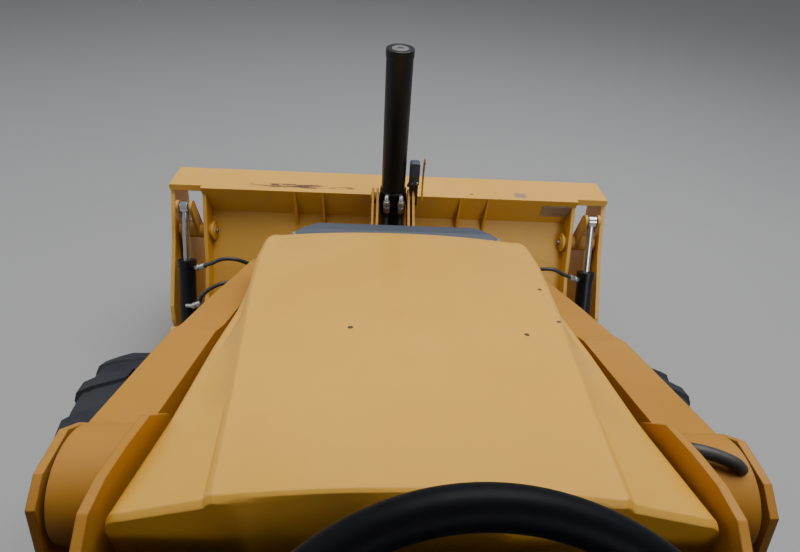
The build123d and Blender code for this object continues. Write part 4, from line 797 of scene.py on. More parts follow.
rating_corners = [(842, 45), (1005, 40), (1012, 132), (852, 138)]
plate_piece("rating_plate", [on_beam_rear(x, d, 2.2) for x, d in rating_corners], 0.002, plated_steel,
            "loader_bucket", edge=0.0006)
beam_normal = (0, -0.9155, -0.4024)
fastened("rating_plate_rivets", round_head(0.004, 0.003),
         [(on_beam_rear(x, d, 2.2), beam_normal) for x, d in ((851, 52), (997, 48), (1003, 124), (860, 130))],
         plated_steel, "loader_bucket")

# Bucket edge: a bolted reversible cutting edge under the jaw's lip, bright
# where the ground has scoured it, held by square-shank bolts.
edge_bolts = 12
edge_half = 1.150
edge_corners = [(-1198, 4196), (1198, 4196), (1198, 4331), (-1198, 4331)]
edge_vertices, edge_steps = [], 24
for f, z in ((4186, 141), (4190, 145), (4268, 146), (4272, 142), (4332, 112), (4332, 105), (4300, 100), (4186, 101)):
    edge_vertices += [placed(-1199 + 2398 * k / edge_steps, f, z) for k in range(edge_steps + 1)]
columns = edge_steps + 1
edge_faces = []
for r in range(8):
    for c in range(edge_steps):
        a, b = r * columns + c, ((r + 1) % 8) * columns + c
        edge_faces.append((a, a + 1, b + 1, b))
edge_faces += [tuple(r * columns for r in range(8)), tuple(r * columns + edge_steps for r in range(8))]
mesh_piece("cutting_edge", edge_vertices, edge_faces, bare_steel, "bucket_jaw", 25)
fastened("cutting_edge_bolts", round_head(0.019, 0.008),
         [(placed(1000 * edge_half * (2 * (k + 0.5) / edge_bolts - 1), 4228, 145), (0, 0, 1))
          for k in range(edge_bolts)],
         bare_steel, "bucket_jaw")
for side, hand in ((-1, "left"), (1, "right")):
    turned_piece("jaw_hinge_collar_" + hand, [(0, 0.024), (0, 0.050), (0.004, 0.053), (0.012, 0.053), (0.016, 0.049),
                                               (0.016, 0.034), (0.021, 0.030), (0.021, 0.012)],
                 placed(side * 1001, 3560, 770), (-side, 0, 0), bucket_paint, "loader_bucket")
    fastened("jaw_hinge_bolt_" + hand, hex_head(0.013, 0.012), [(placed(side * 982, 3560, 770), (-side, 0, 0))],
             bare_steel, "loader_bucket")
    for number, x in enumerate((1069, 1141)):
        away = -1 if number == 0 else 1
        turned_piece("jaw_eye_washer_%s_%d" % (hand, number), [(0, 0.010), (0, 0.024), (0.005, 0.023), (0.005, 0.010)],
                     placed(side * x, 3504, 950), (side * away, 0, 0), bare_steel, "bucket_jaw", 24)
# Tilt cylinder: a thick-walled tube closed by a welded cap, with its two steel
# hose ends on the block's rear side and the hoses running down to the arms.
tilt_slope = Vector((0, -0.05446, 0.99852))


def on_tilt(distance, rearward=0.0, x=0.0):
    """A point up the tilt cylinder from its trunnion, and off its axis toward the cab."""
    off = Vector((0, -tilt_slope.z, tilt_slope.y))
    return placed(x, 3480, 1060) + tilt_slope * (distance / 1000) + off * (rearward / 1000)


turned_piece("tilt_cylinder_cap", [(-0.030, 0.0605), (-0.030, 0.0635), (0.003, 0.0635), (0.006, 0.0600),
                                   (0.006, 0.0420), (0.003, 0.0395), (0.003, 0.0130), (-0.004, 0.0120)],
             on_tilt(760), tilt_slope, tube_paint, "tilt_tube", 48)
cap_steel = finish_material("cap_steel", (0.09, 0.09, 0.09, 1), (0.12, 0.12, 0.12, 1), 0.45, dust=0.3, streaks=0.0,
                            wear=0.4)
turned_piece("tilt_cylinder_plug", [(0.0, 0.0385), (0.0045, 0.0385), (0.0055, 0.0370), (0.0055, 0.0140),
                                    (0.001, 0.0125)],
             on_tilt(760), tilt_slope, cap_steel, "tilt_tube", 32)
turned_piece("tilt_cylinder_gland", [(-0.010, 0.033), (-0.010, 0.062), (0.002, 0.0715), (0.026, 0.0715),
                                     (0.030, 0.0690)],
             on_tilt(-200), tilt_slope, tube_paint, "tilt_tube", 48)
hose_rubber = finish_material("hose_rubber", (0.010, 0.010, 0.012, 1), (0.022, 0.022, 0.026, 1), 0.42, dust=0.12,
                              streaks=0.1, wear=0.1, under=(0.06, 0.05, 0.05, 1), bump=0.12)


def hose_end(name, start, direction, length, radius, body):
    """A plated hose end: its hexagon nut and the crimped collar behind it."""
    profile = [(0, radius * 0.75), (0, radius * 1.15), (0.30, radius * 1.35), (0.34, radius * 1.35),
               (0.36, radius * 0.95), (0.48, radius * 0.95), (0.50, radius * 1.25), (0.96, radius * 1.25),
               (1.0, radius * 1.15), (1.0, radius * 0.7)]
    return turned_piece(name, [(a * length, r) for a, r in profile], start, direction, plated_steel, body,
                        12, 30)


for number, x in enumerate((-33, 41)):
    port = on_tilt(52, 60, x * 0.9)
    pipe("tilt_port_%d" % number, [port, on_tilt(54, 82, x), on_tilt(34, 94, x)], 0.011, plated_steel, "tilt_tube",
         14, 6)
    hose_end("tilt_hose_end_%d" % number, on_tilt(40, 94, x), (0, 0, -1), 0.062, 0.014, "tilt_tube")
    hose = pipe("tilt_hose_%d" % number,
                [on_tilt(-12, 96, x), on_tilt(-60, 102, x), placed(x, 3325, 925), placed(x, 3240, 865),
                 placed(x, 3140, 835), placed(x, 3042, 826)], 0.0115, hose_rubber, None, 14)
    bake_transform(hose)

# Bucket-level cut-out: a black switch box on the arm's bracket and, beside it,
# the thin curved cam plate that trips it.
level_box = [(-26, -60), (26, -60), (26, 52), (18, 62), (-18, 62), (-26, 52)]
corners = []
for f in (3452, 3500):
    corners += [placed(105 + dx, f, 1214 + dz) for dx, dz in level_box]
box_faces = [(0, 1, 2, 3, 4, 5), (11, 10, 9, 8, 7, 6)] + [(k, (k + 1) % 6, 6 + (k + 1) % 6, 6 + k) for k in range(6)]
switch_box = mesh_piece("level_switch_box", corners, box_faces, trim_plastic, "loader_arms")
ease = switch_box.modifiers.new("ease", "BEVEL")
ease.width, ease.segments = 0.004, 3
plate_piece("level_switch_bracket", [placed(82, 3468, 1030), placed(128, 3468, 1030), placed(128, 3468, 1170),
                                     placed(82, 3468, 1170)], 0.006, black_paint, "loader_arms")
cam_arc = [(3472, 1292), (3500, 1285), (3522, 1250), (3532, 1205), (3530, 1150), (3515, 1100), (3496, 1062),
           (3462, 1062), (3488, 1105), (3503, 1150), (3505, 1200), (3496, 1240), (3478, 1266), (3462, 1275)]
plate_piece("level_cam_plate", [placed(150, f, z) for f, z in reversed(cam_arc)], 0.008, arm_paint, "loader_arms",
            edge=0.001)
pipe("level_switch_lever", [placed(74, 3445, 1150), placed(88, 3452, 1178), placed(104, 3458, 1212)], 0.009,
     black_paint, "loader_arms", 12)
fastened("level_switch_bolts", hex_head(0.006, 0.005),
         [(placed(90, 3452, 1165), (0, -1, 0)), (placed(120, 3452, 1165), (0, -1, 0))],
         plated_steel, "loader_arms")

# Jaw hoses: two to each clam cylinder, from plated ends on its ports across to
# a steel block behind the bucket, then past the hinge pin to the arm.
for side, hand in ((-1, "left"), (1, "right")):
    upper_port = placed(side * 1066, 3348, 662)
    pipe("jaw_port_upper_" + hand, [placed(side * 1085, 3352, 655), upper_port, placed(side * 1040, 3330, 672)],
         0.010, plated_steel, "jaw_tubes", 12, 6)
    hose_end("jaw_hose_end_upper_" + hand, placed(side * 1046, 3332, 670), (-side * 0.80, -0.32, 0.52), 0.070,
             0.0125, "jaw_tubes")
    upper = pipe("jaw_hose_upper_" + hand,
                 [placed(side * x, f, z) for x, f, z in (
                     (1000, 3315, 700), (950, 3302, 727), (884, 3300, 760), (815, 3318, 745), (750, 3360, 680),
                     (716, 3410, 615), (704, 3440, 588))], 0.0105, hose_rubber, None, 12)
    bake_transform(upper)
    pipe("jaw_port_lower_" + hand, [placed(side * 1085, 3196, 520), placed(side * 1062, 3186, 528),
                                    placed(side * 1042, 3180, 532)],
         0.010, plated_steel, "jaw_tubes", 12, 6)
    hose_end("jaw_hose_end_lower_" + hand, placed(side * 1050, 3183, 528), (-side * 0.86, -0.1, 0.50), 0.062,
             0.0125, "jaw_tubes")
    lower = pipe("jaw_hose_lower_" + hand,
                 [placed(side * x, f, z) for x, f, z in (
                     (1008, 3180, 556), (985, 3185, 605), (935, 3205, 640), (874, 3230, 655), (800, 3290, 620),
                     (735, 3370, 560), (690, 3424, 548))], 0.0105, hose_rubber, None, 12)
    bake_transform(lower)
    back = [placed(side * x, f, z) for x in (665, 735) for f, z in (
        (3452, 520), (3500, 606), (3458, 630), (3410, 544))]
    manifold = mesh_piece("jaw_hose_block_" + hand, back,
                          [(0, 1, 2, 3), (4, 5, 6, 7), (0, 1, 5, 4), (1, 2, 6, 5), (2, 3, 7, 6), (3, 0, 4, 7)],
                          bare_steel, "loader_bucket")
    ease = manifold.modifiers.new("ease", "BEVEL")
    ease.width, ease.segments = 0.004, 2
    for number, lift in enumerate((0, 34)):
        run = pipe("arm_hose_%s_%d" % (hand, number),
                   [placed(side * x, f, z) for x, f, z in (
                       (700, 3412 - lift, 545 + lift * 0.6), (684, 3360, 490 + lift * 0.7), (672, 3300, 446 + lift * 0.6),
                       (668, 3235, 462 + lift), (650, 3165, 560 + lift), (634, 3080, 690 + lift),
                       (630, 2985, 796 + lift), (626, 2880, 876 + lift))],
                   0.0105, hose_rubber, None, 12)
        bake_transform(run)
    plate_piece("arm_hose_clamp_" + hand,
                [placed(side * 642, f, z) for f, z in ((2960, 752), (2998, 792), (2942, 862), (2904, 822))][::side],
                0.030, black_paint, "loader_arms", edge=0.003)

# Arm-top hose: a sleeved hose that crosses the right arm's pivot boss between
# the two tower plates.
pipe("pivot_hose", [placed(x, f, z) for x, f, z in (
    (492, 1572, 1599), (500, 1564, 1615), (516, 1554, 1624), (545, 1544, 1624), (574, 1533, 1618), (592, 1532, 1602))],
     0.0125, hose_rubber, "root_frame", 16)

# Hood fastenings: four dark rubber plugs pressed into the skin, and a bolt that
# holds the front trim.
plug_places = [(-131, 1883), (278, 1888), (397, 2185), (386, 1977)]
rubber_plug = finish_material("rubber_plug", (0.03, 0.022, 0.015, 1), (0.05, 0.035, 0.02, 1), 0.6, dust=0.1,
                              streaks=0.0, wear=0.0)


def hood_top(x, f):
    """Height of the hood's crowned middle, in metres."""
    crease = hood_at(f)[0] - 0.014
    height = hood_rear_height - hood_pitch * (f - hood_rear_f)
    return height + crease_rise * 0.75 + (hood_crown - crease_rise * 0.75) * (1 - min(abs(x) / crease, 1) ** 2)


fastened("hood_plugs", round_head(0.0065, 0.003),
         [(Vector((x / 1000, forward_y(f / 1000), hood_top(x / 1000, f / 1000) - 0.0005)), (0, 0.286, 0.958))
          for x, f in plug_places], rubber_plug, "hood")
fastened("trim_bolts", hex_head(0.007, 0.007),
         [(placed(side * 392, 2704, 1318), (0, 0.1, 0.99)) for side in (-1, 1)], plated_steel, "hood")
# Wheels: pressed hub caps over the axle ends, a ring of nuts on studs that holds
# each disc, and the tyre valve beside the rim's outer flange.


def stud_nut(radius, height):
    """A nut on its stud, with the stud's end standing out of it."""
    nut = hex_head(radius, height)
    build = bmesh.new()
    build.from_mesh(nut)
    sides, rows = 12, []
    for z, size in ((height * 0.9, 0.5), (height * 1.5, 0.5), (height * 1.6, 0.42), (height * 1.6, 0.02)):
        rows.append([build.verts.new((radius * size * math.cos(2 * math.pi * k / sides),
                                      radius * size * math.sin(2 * math.pi * k / sides), z)) for k in range(sides)])
    for a, b in zip(rows, rows[1:]):
        for k in range(sides):
            m = (k + 1) % sides
            build.faces.new((a[k], a[m], b[m], b[k]))
    build.faces.new(list(reversed(rows[0])))
    build.faces.new(rows[-1])
    build.to_mesh(nut)
    build.free()
    return nut


wheel_fittings = {
    # axle: forward, axle height, disc face and cap face from the middle, nuts, nut ring, cap radius, flange
    "front": (1.446 + 0.754, 0.485, 0.956, 0.999, 8, 0.128, 0.078, 0.214),
    "rear": (0.0, 0.700, 0.841, 0.899, 10, 0.150, 0.090, 0.322),
}
for end, (f, height, disc_face, cap_face, nuts, ring, cap_radius, flange) in wheel_fittings.items():
    for sign, side in ((-1, "left"), (1, "right")):
        hub = centre(end + "_tyre_" + side)
        body = end + "_wheel_" + side
        outward = Vector((sign, 0, 0))
        face = Vector((sign * disc_face, hub.y, hub.z))
        places = [(face + Vector((0, ring * math.cos(a), ring * math.sin(a))), outward)
                  for a in (2 * math.pi * (k + 0.5) / nuts for k in range(nuts))]
        fastened("%s_wheel_nuts_%s" % (end, side), stud_nut(0.0155, 0.017), places, bare_steel, body)
        turned_piece("%s_hub_cap_%s" % (end, side),
                     [(-0.012, cap_radius * 0.98), (-0.003, cap_radius * 1.03), (0.006, cap_radius * 1.0),
                      (0.018, cap_radius * 0.74), (0.022, cap_radius * 0.70), (0.044, cap_radius * 0.66),
                      (0.052, cap_radius * 0.58), (0.054, cap_radius * 0.20)],
                     Vector((sign * cap_face, hub.y, hub.z)), outward, rim_paint, body, 40)
        fastened("%s_cap_bolts_%s" % (end, side), hex_head(0.006, 0.006),
                 [(Vector((sign * (cap_face + 0.008), hub.y + cap_radius * 0.86 * math.cos(a),
                           hub.z + cap_radius * 0.86 * math.sin(a))), outward)
                  for a in (math.pi * (k + 0.25) / 3 for k in range(6))], plated_steel, body)
        stem = Vector((sign * (disc_face + 0.010), hub.y, hub.z + flange - 0.012))
        pipe("%s_tyre_valve_%s" % (end, side),
             [stem, stem + Vector((sign * 0.018, 0, -0.004)), stem + Vector((sign * 0.040, 0, -0.016))], 0.0055,
             plated_steel, body, 10, 5)

# Pin heads: each hinge pin ends in a turned cap with one locking bolt, and the
# loader's pivots carry a keeper plate on the tower's outer side.


def pin_cap(radius, height):
    """A turned pin end with a bolt head in its middle."""
    sides, rows = 28, []
    profile = ((-0.3 * height, 1.0), (0.65 * height, 1.0), (height, 0.90), (height, 0.62), (0.82 * height, 0.56),
               (0.82 * height, 0.42), (1.55 * height, 0.42), (1.68 * height, 0.34))
    for number, (z, size) in enumerate(profile):
        ring = []
        for k in range(sides):
            a = 2 * math.pi * k / sides
            flat = math.cos(math.pi / 6) / math.cos(a % (math.pi / 3) - math.pi / 6) if number > 4 else 1.0
            ring.append((radius * size * flat * math.cos(a), radius * size * flat * math.sin(a), z))
        rows += ring
    faces = loft_faces(len(profile), sides, closed=True)
    faces += [tuple(reversed(range(sides))), tuple((len(profile) - 1) * sides + k for k in range(sides))]
    return block_mesh(rows, faces)


def along_line(start, heading, reach, offset=0.0):
    """Forward and height of a point along a heading in degrees, and off it to its right."""
    a, b = math.radians(heading), math.radians(heading - 90)
    return (start[0] + reach * math.cos(a) + offset * math.cos(b),
            start[1] + reach * math.sin(a) + offset * math.sin(b))


boom_foot, boom_tip = (-1650, 700), (-1190, 3330)
boom_heading = math.degrees(math.atan2(boom_tip[1] - boom_foot[1], boom_tip[0] - boom_foot[0]))
stick_heading = boom_heading + 142
boom_reach, stick_reach = 2670, 1948
boom_pin = along_line(boom_foot, boom_heading, 1389, 173)
crowd_base = along_line(boom_foot, boom_heading, boom_reach - 1090, 151)
crowd_pin = along_line(boom_tip, stick_heading - 167, 300)
rocker_pivot = along_line(boom_tip, stick_heading, stick_reach - 308, 30)
hoe_pin = along_line(boom_tip, stick_heading, stick_reach)
pin_ends = {
    # body: pins as forward, height, half spread over the ends, cap radius
    "loader_arms": [((3290, 420), 614, 34)],
    "root_frame": [((1555, 1495), 656, 34), ((1500, 850), 650, 30)],
    "kingpost": [(boom_foot, 165, 40)],
    "boom": [(boom_tip, 135, 38), (boom_pin, 137, 28), (crowd_base, 137, 28)],
    "stick": [(rocker_pivot, 135, 28)],
    "hoe_bucket": [(hoe_pin, 110, 38)],
}
for body, pins in pin_ends.items():
    for number, ((f, z), half, radius) in enumerate(pins):
        fastened("pin_ends_%s_%d" % (body, number), pin_cap(radius / 1000, 0.012),
                 [(placed(side * half, f, z), (side, 0, 0)) for side in (-1, 1)], bare_steel, body)
for side, hand in ((-1, "left"), (1, "right")):
    corners = [placed(side * 651, f, z) for f, z in ((1582, 1448), (1640, 1474), (1625, 1508), (1567, 1482))]
    plate_piece("pivot_keeper_" + hand, corners[::-side], 0.008, arm_paint, "root_frame")
    fastened("pivot_keeper_bolts_" + hand, hex_head(0.008, 0.007),
             [(placed(side * 651, 1618, 1485), (side, 0, 0))],
             plated_steel, "root_frame")

# Digger pipes: two steel lines up each side of the boom and down the stick,
# held by bolted clamps, with short hoses across the joints.
pipe_steel = finish_material("pipe_steel", (0.42, 0.19, 0.02, 1), (0.50, 0.24, 0.03, 1), 0.4, dust=0.25, streaks=0.2,
                             wear=0.2)


def on_side(point, x):
    return placed(x, point[0], point[1])


def clamp_block(width, height, depth):
    """A two-bolt pipe clamp, flat underneath and rounded over the pipes."""
    rows = []
    outline = [(-1, 0), (-1, 0.55), (-0.82, 0.85), (-0.45, 1.0), (0.45, 1.0), (0.82, 0.85), (1, 0.55), (1, 0)]
    for y in (-depth / 2, depth / 2):
        rows += [(x * width / 2, y, z * height) for x, z in outline]
    n = len(outline)
    return block_mesh(rows, [tuple(range(n)), tuple(reversed(range(n, 2 * n)))] + [
        (k, n + k, n + (k + 1) % n, (k + 1) % n) for k in range(n)])


for side, hand in ((-1, "left"), (1, "right")):
    clamps = []
    for number, offset in enumerate((-70, -40)):
        pipe("boom_pipe_%s_%d" % (hand, number),
             [on_side(along_line(boom_foot, boom_heading, reach, offset + lift), side * 139)
              for reach, lift in ((430, 0), (620, -12), (1000, -30), (1600, -32), (2100, -8), (2340, 6))],
             0.0085, pipe_steel, "boom", 12, 6)
        pipe("stick_pipe_%s_%d" % (hand, number),
             [on_side(along_line(boom_tip, stick_heading, reach, 58 - 34 * number), side * 94)
              for reach in (260, 480, 820, 1180)],
             0.0085, pipe_steel, "stick", 12, 6)
        for step, (name, reach, at) in enumerate((("foot", 430, 0), ("head", 2340, 6))):
            end = on_side(along_line(boom_foot, boom_heading, reach, offset + at), side * 139)
            way = 1 if name == "head" else -1
            slope = Vector((0, math.cos(math.radians(boom_heading)), math.sin(math.radians(boom_heading)))) * way
            hose_end("boom_hose_end_%s_%s_%d" % (name, hand, number), end - slope * 0.012, slope, 0.058, 0.0115, "boom")
        start = on_side(along_line(boom_foot, boom_heading, 388, offset), side * 139)
        hose = pipe("foot_hose_%s_%d" % (hand, number),
                    [start, on_side(along_line(boom_foot, boom_heading, 330, offset + 4), side * 141),
                     placed(side * (166 + 4 * number), -1606 + 10 * number, 938),
                     placed(side * (178 + 5 * number), -1588 + 16 * number, 868),
                     placed(side * (176 + 4 * number), -1590 + 22 * number, 806),
                     placed(side * 168, -1600 + 26 * number, 778)],
                    0.0105, hose_rubber, None, 12)
        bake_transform(hose)
        top = on_side(along_line(boom_foot, boom_heading, 2384, offset + 6), side * 139)
        below = on_side(along_line(boom_tip, stick_heading, 250, 58 - 34 * number), side * 94)
        hose = pipe("tip_hose_%s_%d" % (hand, number),
                    [top, on_side(along_line(boom_foot, boom_heading, 2450, offset + 6), side * 142),
                     placed(side * (146 + 4 * number), -1290, 3262 + 20 * number),
                     placed(side * (134 + 4 * number), -1345, 3232 + 24 * number),
                     on_side(along_line(boom_tip, stick_heading, 200, 62 - 34 * number), side * 104), below],
                    0.0105, hose_rubber, None, 12)
        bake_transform(hose)
    boom_turn = (0, -math.sin(math.radians(boom_heading)), math.cos(math.radians(boom_heading)))
    for reach, lift in ((640, -12), (1180, -31), (1640, -31), (2080, -8)):
        clamps.append((on_side(along_line(boom_foot, boom_heading, reach, -55 + lift), side * 124.5), (side, 0, 0)))
    fastened("boom_pipe_clamps_" + hand, clamp_block(0.030, 0.026, 0.074), clamps, black_paint, "boom")
    fastened("boom_clamp_bolts_" + hand, hex_head(0.0055, 0.005),
             [(p + Vector((side * 0.025, 0, 0)), d) for p, d in clamps], plated_steel, "boom")
    stick_clamps = [(on_side(along_line(boom_tip, stick_heading, reach, 41), side * 79.5), (side, 0, 0))
                    for reach in (420, 780, 1120)]
    fastened("stick_pipe_clamps_" + hand, clamp_block(0.030, 0.026, 0.074), stick_clamps, black_paint, "stick")
    fastened("stick_clamp_bolts_" + hand, hex_head(0.0055, 0.005),
             [(p + Vector((side * 0.025, 0, 0)), d) for p, d in stick_clamps], plated_steel, "stick")

# Rear bucket: slip-on points on its five teeth, worn bright at their ends, each
# kept by a cross pin, and a wear strip welded along each lower side.
bucket_heading = stick_heading + 140
point_steel = finish_material("point_steel", (0.10, 0.095, 0.09, 1), (0.16, 0.15, 0.14, 1), 0.45, dust=0.4,
                              streaks=0.3, wear=0.8, under=(0.35, 0.33, 0.31, 1), metallic=0.5)


def on_hoe(along, belly, x):
    """A point from the bucket's pin toward the teeth and into the belly."""
    return on_side(along_line(along_line(hoe_pin, bucket_heading, along), bucket_heading - 90, belly), x)


tooth_pins = []
for number in range(5):
    x = (number - 2) * 125
    sections = [(893, 99, 31, 24), (905, 91, 32, 25), (950, 55, 31, 19), (990, 22, 28, 9), (1012, 4, 25, 4)]
    rows = []
    for along, belly, half, thick in sections:
        for dx, dt in ((-1, -0.55), (-0.8, -1), (0.8, -1), (1, -0.55), (1, 0.55), (0.8, 1), (-0.8, 1), (-1, 0.55)):
            rows.append(on_hoe(along + dt * thick * 0.62, belly + dt * thick * 0.78, x + dx * half))
    faces = loft_faces(len(sections), 8, closed=True) + [tuple(range(8)), tuple(32 + k for k in range(8))]
    mesh_piece("bucket_tooth_point_%d" % number, rows, faces, point_steel, "hoe_bucket", 25)
    tooth_pins += [(on_hoe(930, 70, x + side * 31.5), (side, 0, 0)) for side in (-1, 1)]
fastened("bucket_tooth_pins", round_head(0.006, 0.003), tooth_pins, bare_steel, "hoe_bucket")
for side, hand in ((-1, "left"), (1, "right")):
    strip = [on_hoe(a, b, side * 288) for a, b in ((110, 428), (250, 488), (400, 456), (392, 428), (254, 458), (124, 400))]
    plate_piece("bucket_wear_strip_" + hand, strip[::-side], 0.010, bare_steel, "hoe_bucket", edge=0.002)

# Stabiliser feet: four gussets welded between each leg and its pad, and a pin
# bolt through the leg above them.


def gusset(length, height, thickness):
    """A triangular web that stands on the pad and leans on the leg."""
    outline = [(0, 0), (length, 0), (length, height * 0.16), (height * 0.12, height), (0, height)]
    rows = [(x, y, z) for y in (-thickness / 2, thickness / 2) for x, z in outline]
    n = len(outline)
    return block_mesh(rows, [tuple(range(n)), tuple(reversed(range(n, 2 * n)))] + [
        (k, n + k, n + (k + 1) % n, (k + 1) % n) for k in range(n)])


for side, hand in ((-1, "left"), (1, "right")):
    low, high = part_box("stabiliser_" + hand)
    leg_x, leg_y = side * 1.030, forward_y(-1.040)
    body = "stabiliser_" + hand
    for number, (dx, dy) in enumerate(((1, 0), (-1, 0), (0, 1), (0, -1))):
        web = gusset(0.030 if dx else 0.024, 0.085, 0.012)
        turn = Matrix.Rotation(math.atan2(dy, dx), 4, "Z")
        spot = Vector((leg_x + dx * 0.0573, leg_y + dy * 0.0573, low[2] + 0.0235))
        web.transform(Matrix.Translation(spot) @ turn)
        web.materials.append(black_paint)
        piece = bpy.data.objects.new("foot_web_%s_%d" % (hand, number), web)
        bpy.context.scene.collection.objects.link(piece)
        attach(piece, body)
    fastened("foot_bolts_" + hand, hex_head(0.010, 0.009),
             [(Vector((leg_x + way * 0.0575, leg_y, low[2] + 0.150)), (way, 0, 0)) for way in (-1, 1)],
             bare_steel, body)
# Operator's seat: a bellows pedestal on a turntable, a pressed pan, and a padded
# cushion and back with stitched channels, side bolsters and a welt round each.


def cushion_rise(a, b, seams, bolster):
    """How far the padded face stands proud of its shell at a place across and along it."""
    rise = 0.0
    edge = abs(a)
    if edge > bolster:
        rise += 0.020 * math.sin(min((edge - bolster) / (1 - bolster), 1) * math.pi)
    rise -= 0.011 * math.exp(-((edge - bolster) / 0.030) ** 2)
    if edge < bolster:
        for seam in seams:
            rise -= 0.009 * math.exp(-((b - seam) / 0.024) ** 2)
    return rise


def stuffed(name, middle, across, along, outward, half, seams, bolster, sink=0.0):
    """A padded block: a rounded box with channels sewn into its outward face."""
    across, along, outward = Vector(across), Vector(along), Vector(outward)
    steps, thick = 40, 6
    build = bmesh.new()
    found = {}

    def corner(u, v, w):
        key = (round(u, 5), round(v, 5), round(w, 5))
        if key not in found:
            size = (abs(u) ** 7 + abs(v) ** 7 + abs(w) ** 4) ** (1 / 5.5)
            a, b, n = u / max(size, 1), v / max(size, 1), w / max(size, 1)
            lift = cushion_rise(a, b, seams, bolster) * max(w, 0)
            hollow = sink * (1 - a * a) * (1 - b * b) * max(w, 0)
            swell = 0.010 * (1 - w * w)
            point = (Vector(middle) + across * (a * (half[0] + swell)) + along * (b * (half[1] + swell))
                     + outward * (n * half[2] + lift - hollow))
            found[key] = build.verts.new(point)
        return found[key]

    def patch(place, rows, columns):
        for r in range(rows):
            for c in range(columns):
                build.faces.new([corner(*place(-1 + 2 * i / rows, -1 + 2 * j / columns))
                                 for i, j in ((r, c), (r + 1, c), (r + 1, c + 1), (r, c + 1))])

    patch(lambda p, q: (p, q, 1), steps, steps)
    patch(lambda p, q: (p, q, -1), steps, steps)
    for sign in (-1, 1):
        patch(lambda p, q, s=sign: (p, s, q), steps, thick)
        patch(lambda p, q, s=sign: (s, p, q), steps, thick)
    bmesh.ops.recalc_face_normals(build, faces=build.faces)
    mesh = bpy.data.meshes.new(name)
    build.to_mesh(mesh)
    build.free()
    mesh.materials.append(seat_cloth)
    for face in mesh.polygons:
        face.use_smooth = True
    piece = bpy.data.objects.new(name, mesh)
    bpy.context.scene.collection.objects.link(piece)
    soft = piece.modifiers.new("soft", "SUBSURF")
    soft.levels = soft.render_levels = 1
    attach(piece, "seat")
    return piece


def loop_tube(name, path, radius, material, body, sides=8, flatten=1.0):
    """A closed loop of round or flattened bar."""
    path = [Vector(p) for p in path]
    n = len(path)
    middle = sum(path, Vector()) / n
    plane = Vector()
    for i in range(n):
        plane += (path[i] - middle).cross(path[(i + 1) % n] - middle)
    plane.normalize()
    rings = []
    for i, p in enumerate(path):
        away = ((path[(i + 1) % n] - path[i - 1]).normalized().cross(plane)).normalized()
        rings += [p + away * math.cos(a) * radius + plane * math.sin(a) * radius * flatten
                  for a in (2 * math.pi * k / sides for k in range(sides))]
    faces = []
    for i in range(n):
        for k in range(sides):
            m = (k + 1) % sides
            j = (i + 1) % n
            faces.append((i * sides + k, i * sides + m, j * sides + m, j * sides + k))
    return mesh_piece(name, rings, faces, material, body, 50)


def rounded_loop(corners, radius, steps=5):
    """A polygon's outline with its corners rounded, as points."""
    corners = [Vector(c) for c in corners]
    out = []
    for i, p in enumerate(corners):
        before = (corners[i - 1] - p).normalized()
        after = (corners[(i + 1) % len(corners)] - p).normalized()
        half_angle = before.angle(after) / 2
        cut = radius / math.tan(half_angle)
        a, b = p + before * cut, p + after * cut
        for k in range(steps + 1):
            t = k / steps
            out.append((1 - t) ** 2 * a + 2 * t * (1 - t) * p + t * t * b)
    return out


seat_bellows = [(0.0, 0.130), (0.004, 0.138)]
for fold in range(6):
    base = 0.008 + fold * 0.017
    seat_bellows += [(base, 0.138), (base + 0.006, 0.130), (base + 0.011, 0.130)]
seat_bellows += [(0.112, 0.138), (0.117, 0.136), (0.117, 0.02)]
pedestal = turned_piece("seat_bellows", seat_bellows, placed(0, 330, 1112), (0, 0, 1), grained_black, "seat",
                        56)
pan = [placed(x, f, 1236) for x, f in ((-190, 150), (190, 150), (190, 510), (-190, 510))]
seat_pan = plate_piece("seat_pan", [Vector((p.x, p.y, 1.298)) for p in pan], 0.066, black_paint, "seat",
                       edge=0.016)
seat_pan.modifiers["ease"].segments = 4
slides = [plate_piece("seat_slide_" + hand,
                      [placed(side * 150 + dx, f, 1242) for dx, f in ((-22, 120), (22, 120), (22, 560), (-22, 560))],
                      0.012, plated_steel, "seat") for side, hand in ((-1, "left"), (1, "right"))]
cushion = stuffed("seat_cushion", placed(0, 342, 1362), (1, 0, 0), (0, 1, 0), (0, 0, 1), (0.240, 0.248, 0.058),
                  (-0.52, -0.17, 0.18, 0.53), 0.68, 0.012)
lean = math.radians(5.2)
back_up = Vector((0, -math.sin(lean), math.cos(lean)))
back_out = Vector((0, math.cos(lean), math.sin(lean)))
backrest = stuffed("seat_back", placed(0, 122, 1712), (1, 0, 0), back_up, back_out, (0.225, 0.285, 0.054),
                   (-0.55, -0.22, 0.11, 0.44, 0.76), 0.68, 0.014)
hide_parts("operator_seat")
for name, middle, up, out, half in (("seat_welt_cushion", placed(0, 342, 1376), Vector((0, 1, 0)), Vector((0, 0, 1)),
                                     (0.246, 0.254)),
                                    ("seat_welt_back", placed(0, 122, 1712) + back_out * 0.016, back_up, back_out,
                                     (0.231, 0.291))):
    corners = [middle + Vector((x * half[0], 0, 0)) + up * (y * half[1]) for x, y in ((-1, -1), (1, -1), (1, 1), (-1, 1))]
    loop_tube(name, rounded_loop(corners, 0.060, 8), 0.0055, grained_black, "seat")
back_shell = stuffed_corners = [placed(0, 122, 1712) + Vector((x * 0.205, 0, 0)) + back_up * (y * 0.262)
                                - back_out * 0.050 for x, y in ((1, -1), (1, 1), (-1, 1), (-1, -1))]
plate_piece("seat_back_shell", back_shell, 0.012, grained_black, "seat", edge=0.005)
plate_piece("seat_hinge_cover", [placed(x, 96, z) for x, z in ((160, 1300), (160, 1450), (-160, 1450), (-160, 1300))],
            0.010, black_paint, "seat", edge=0.004)

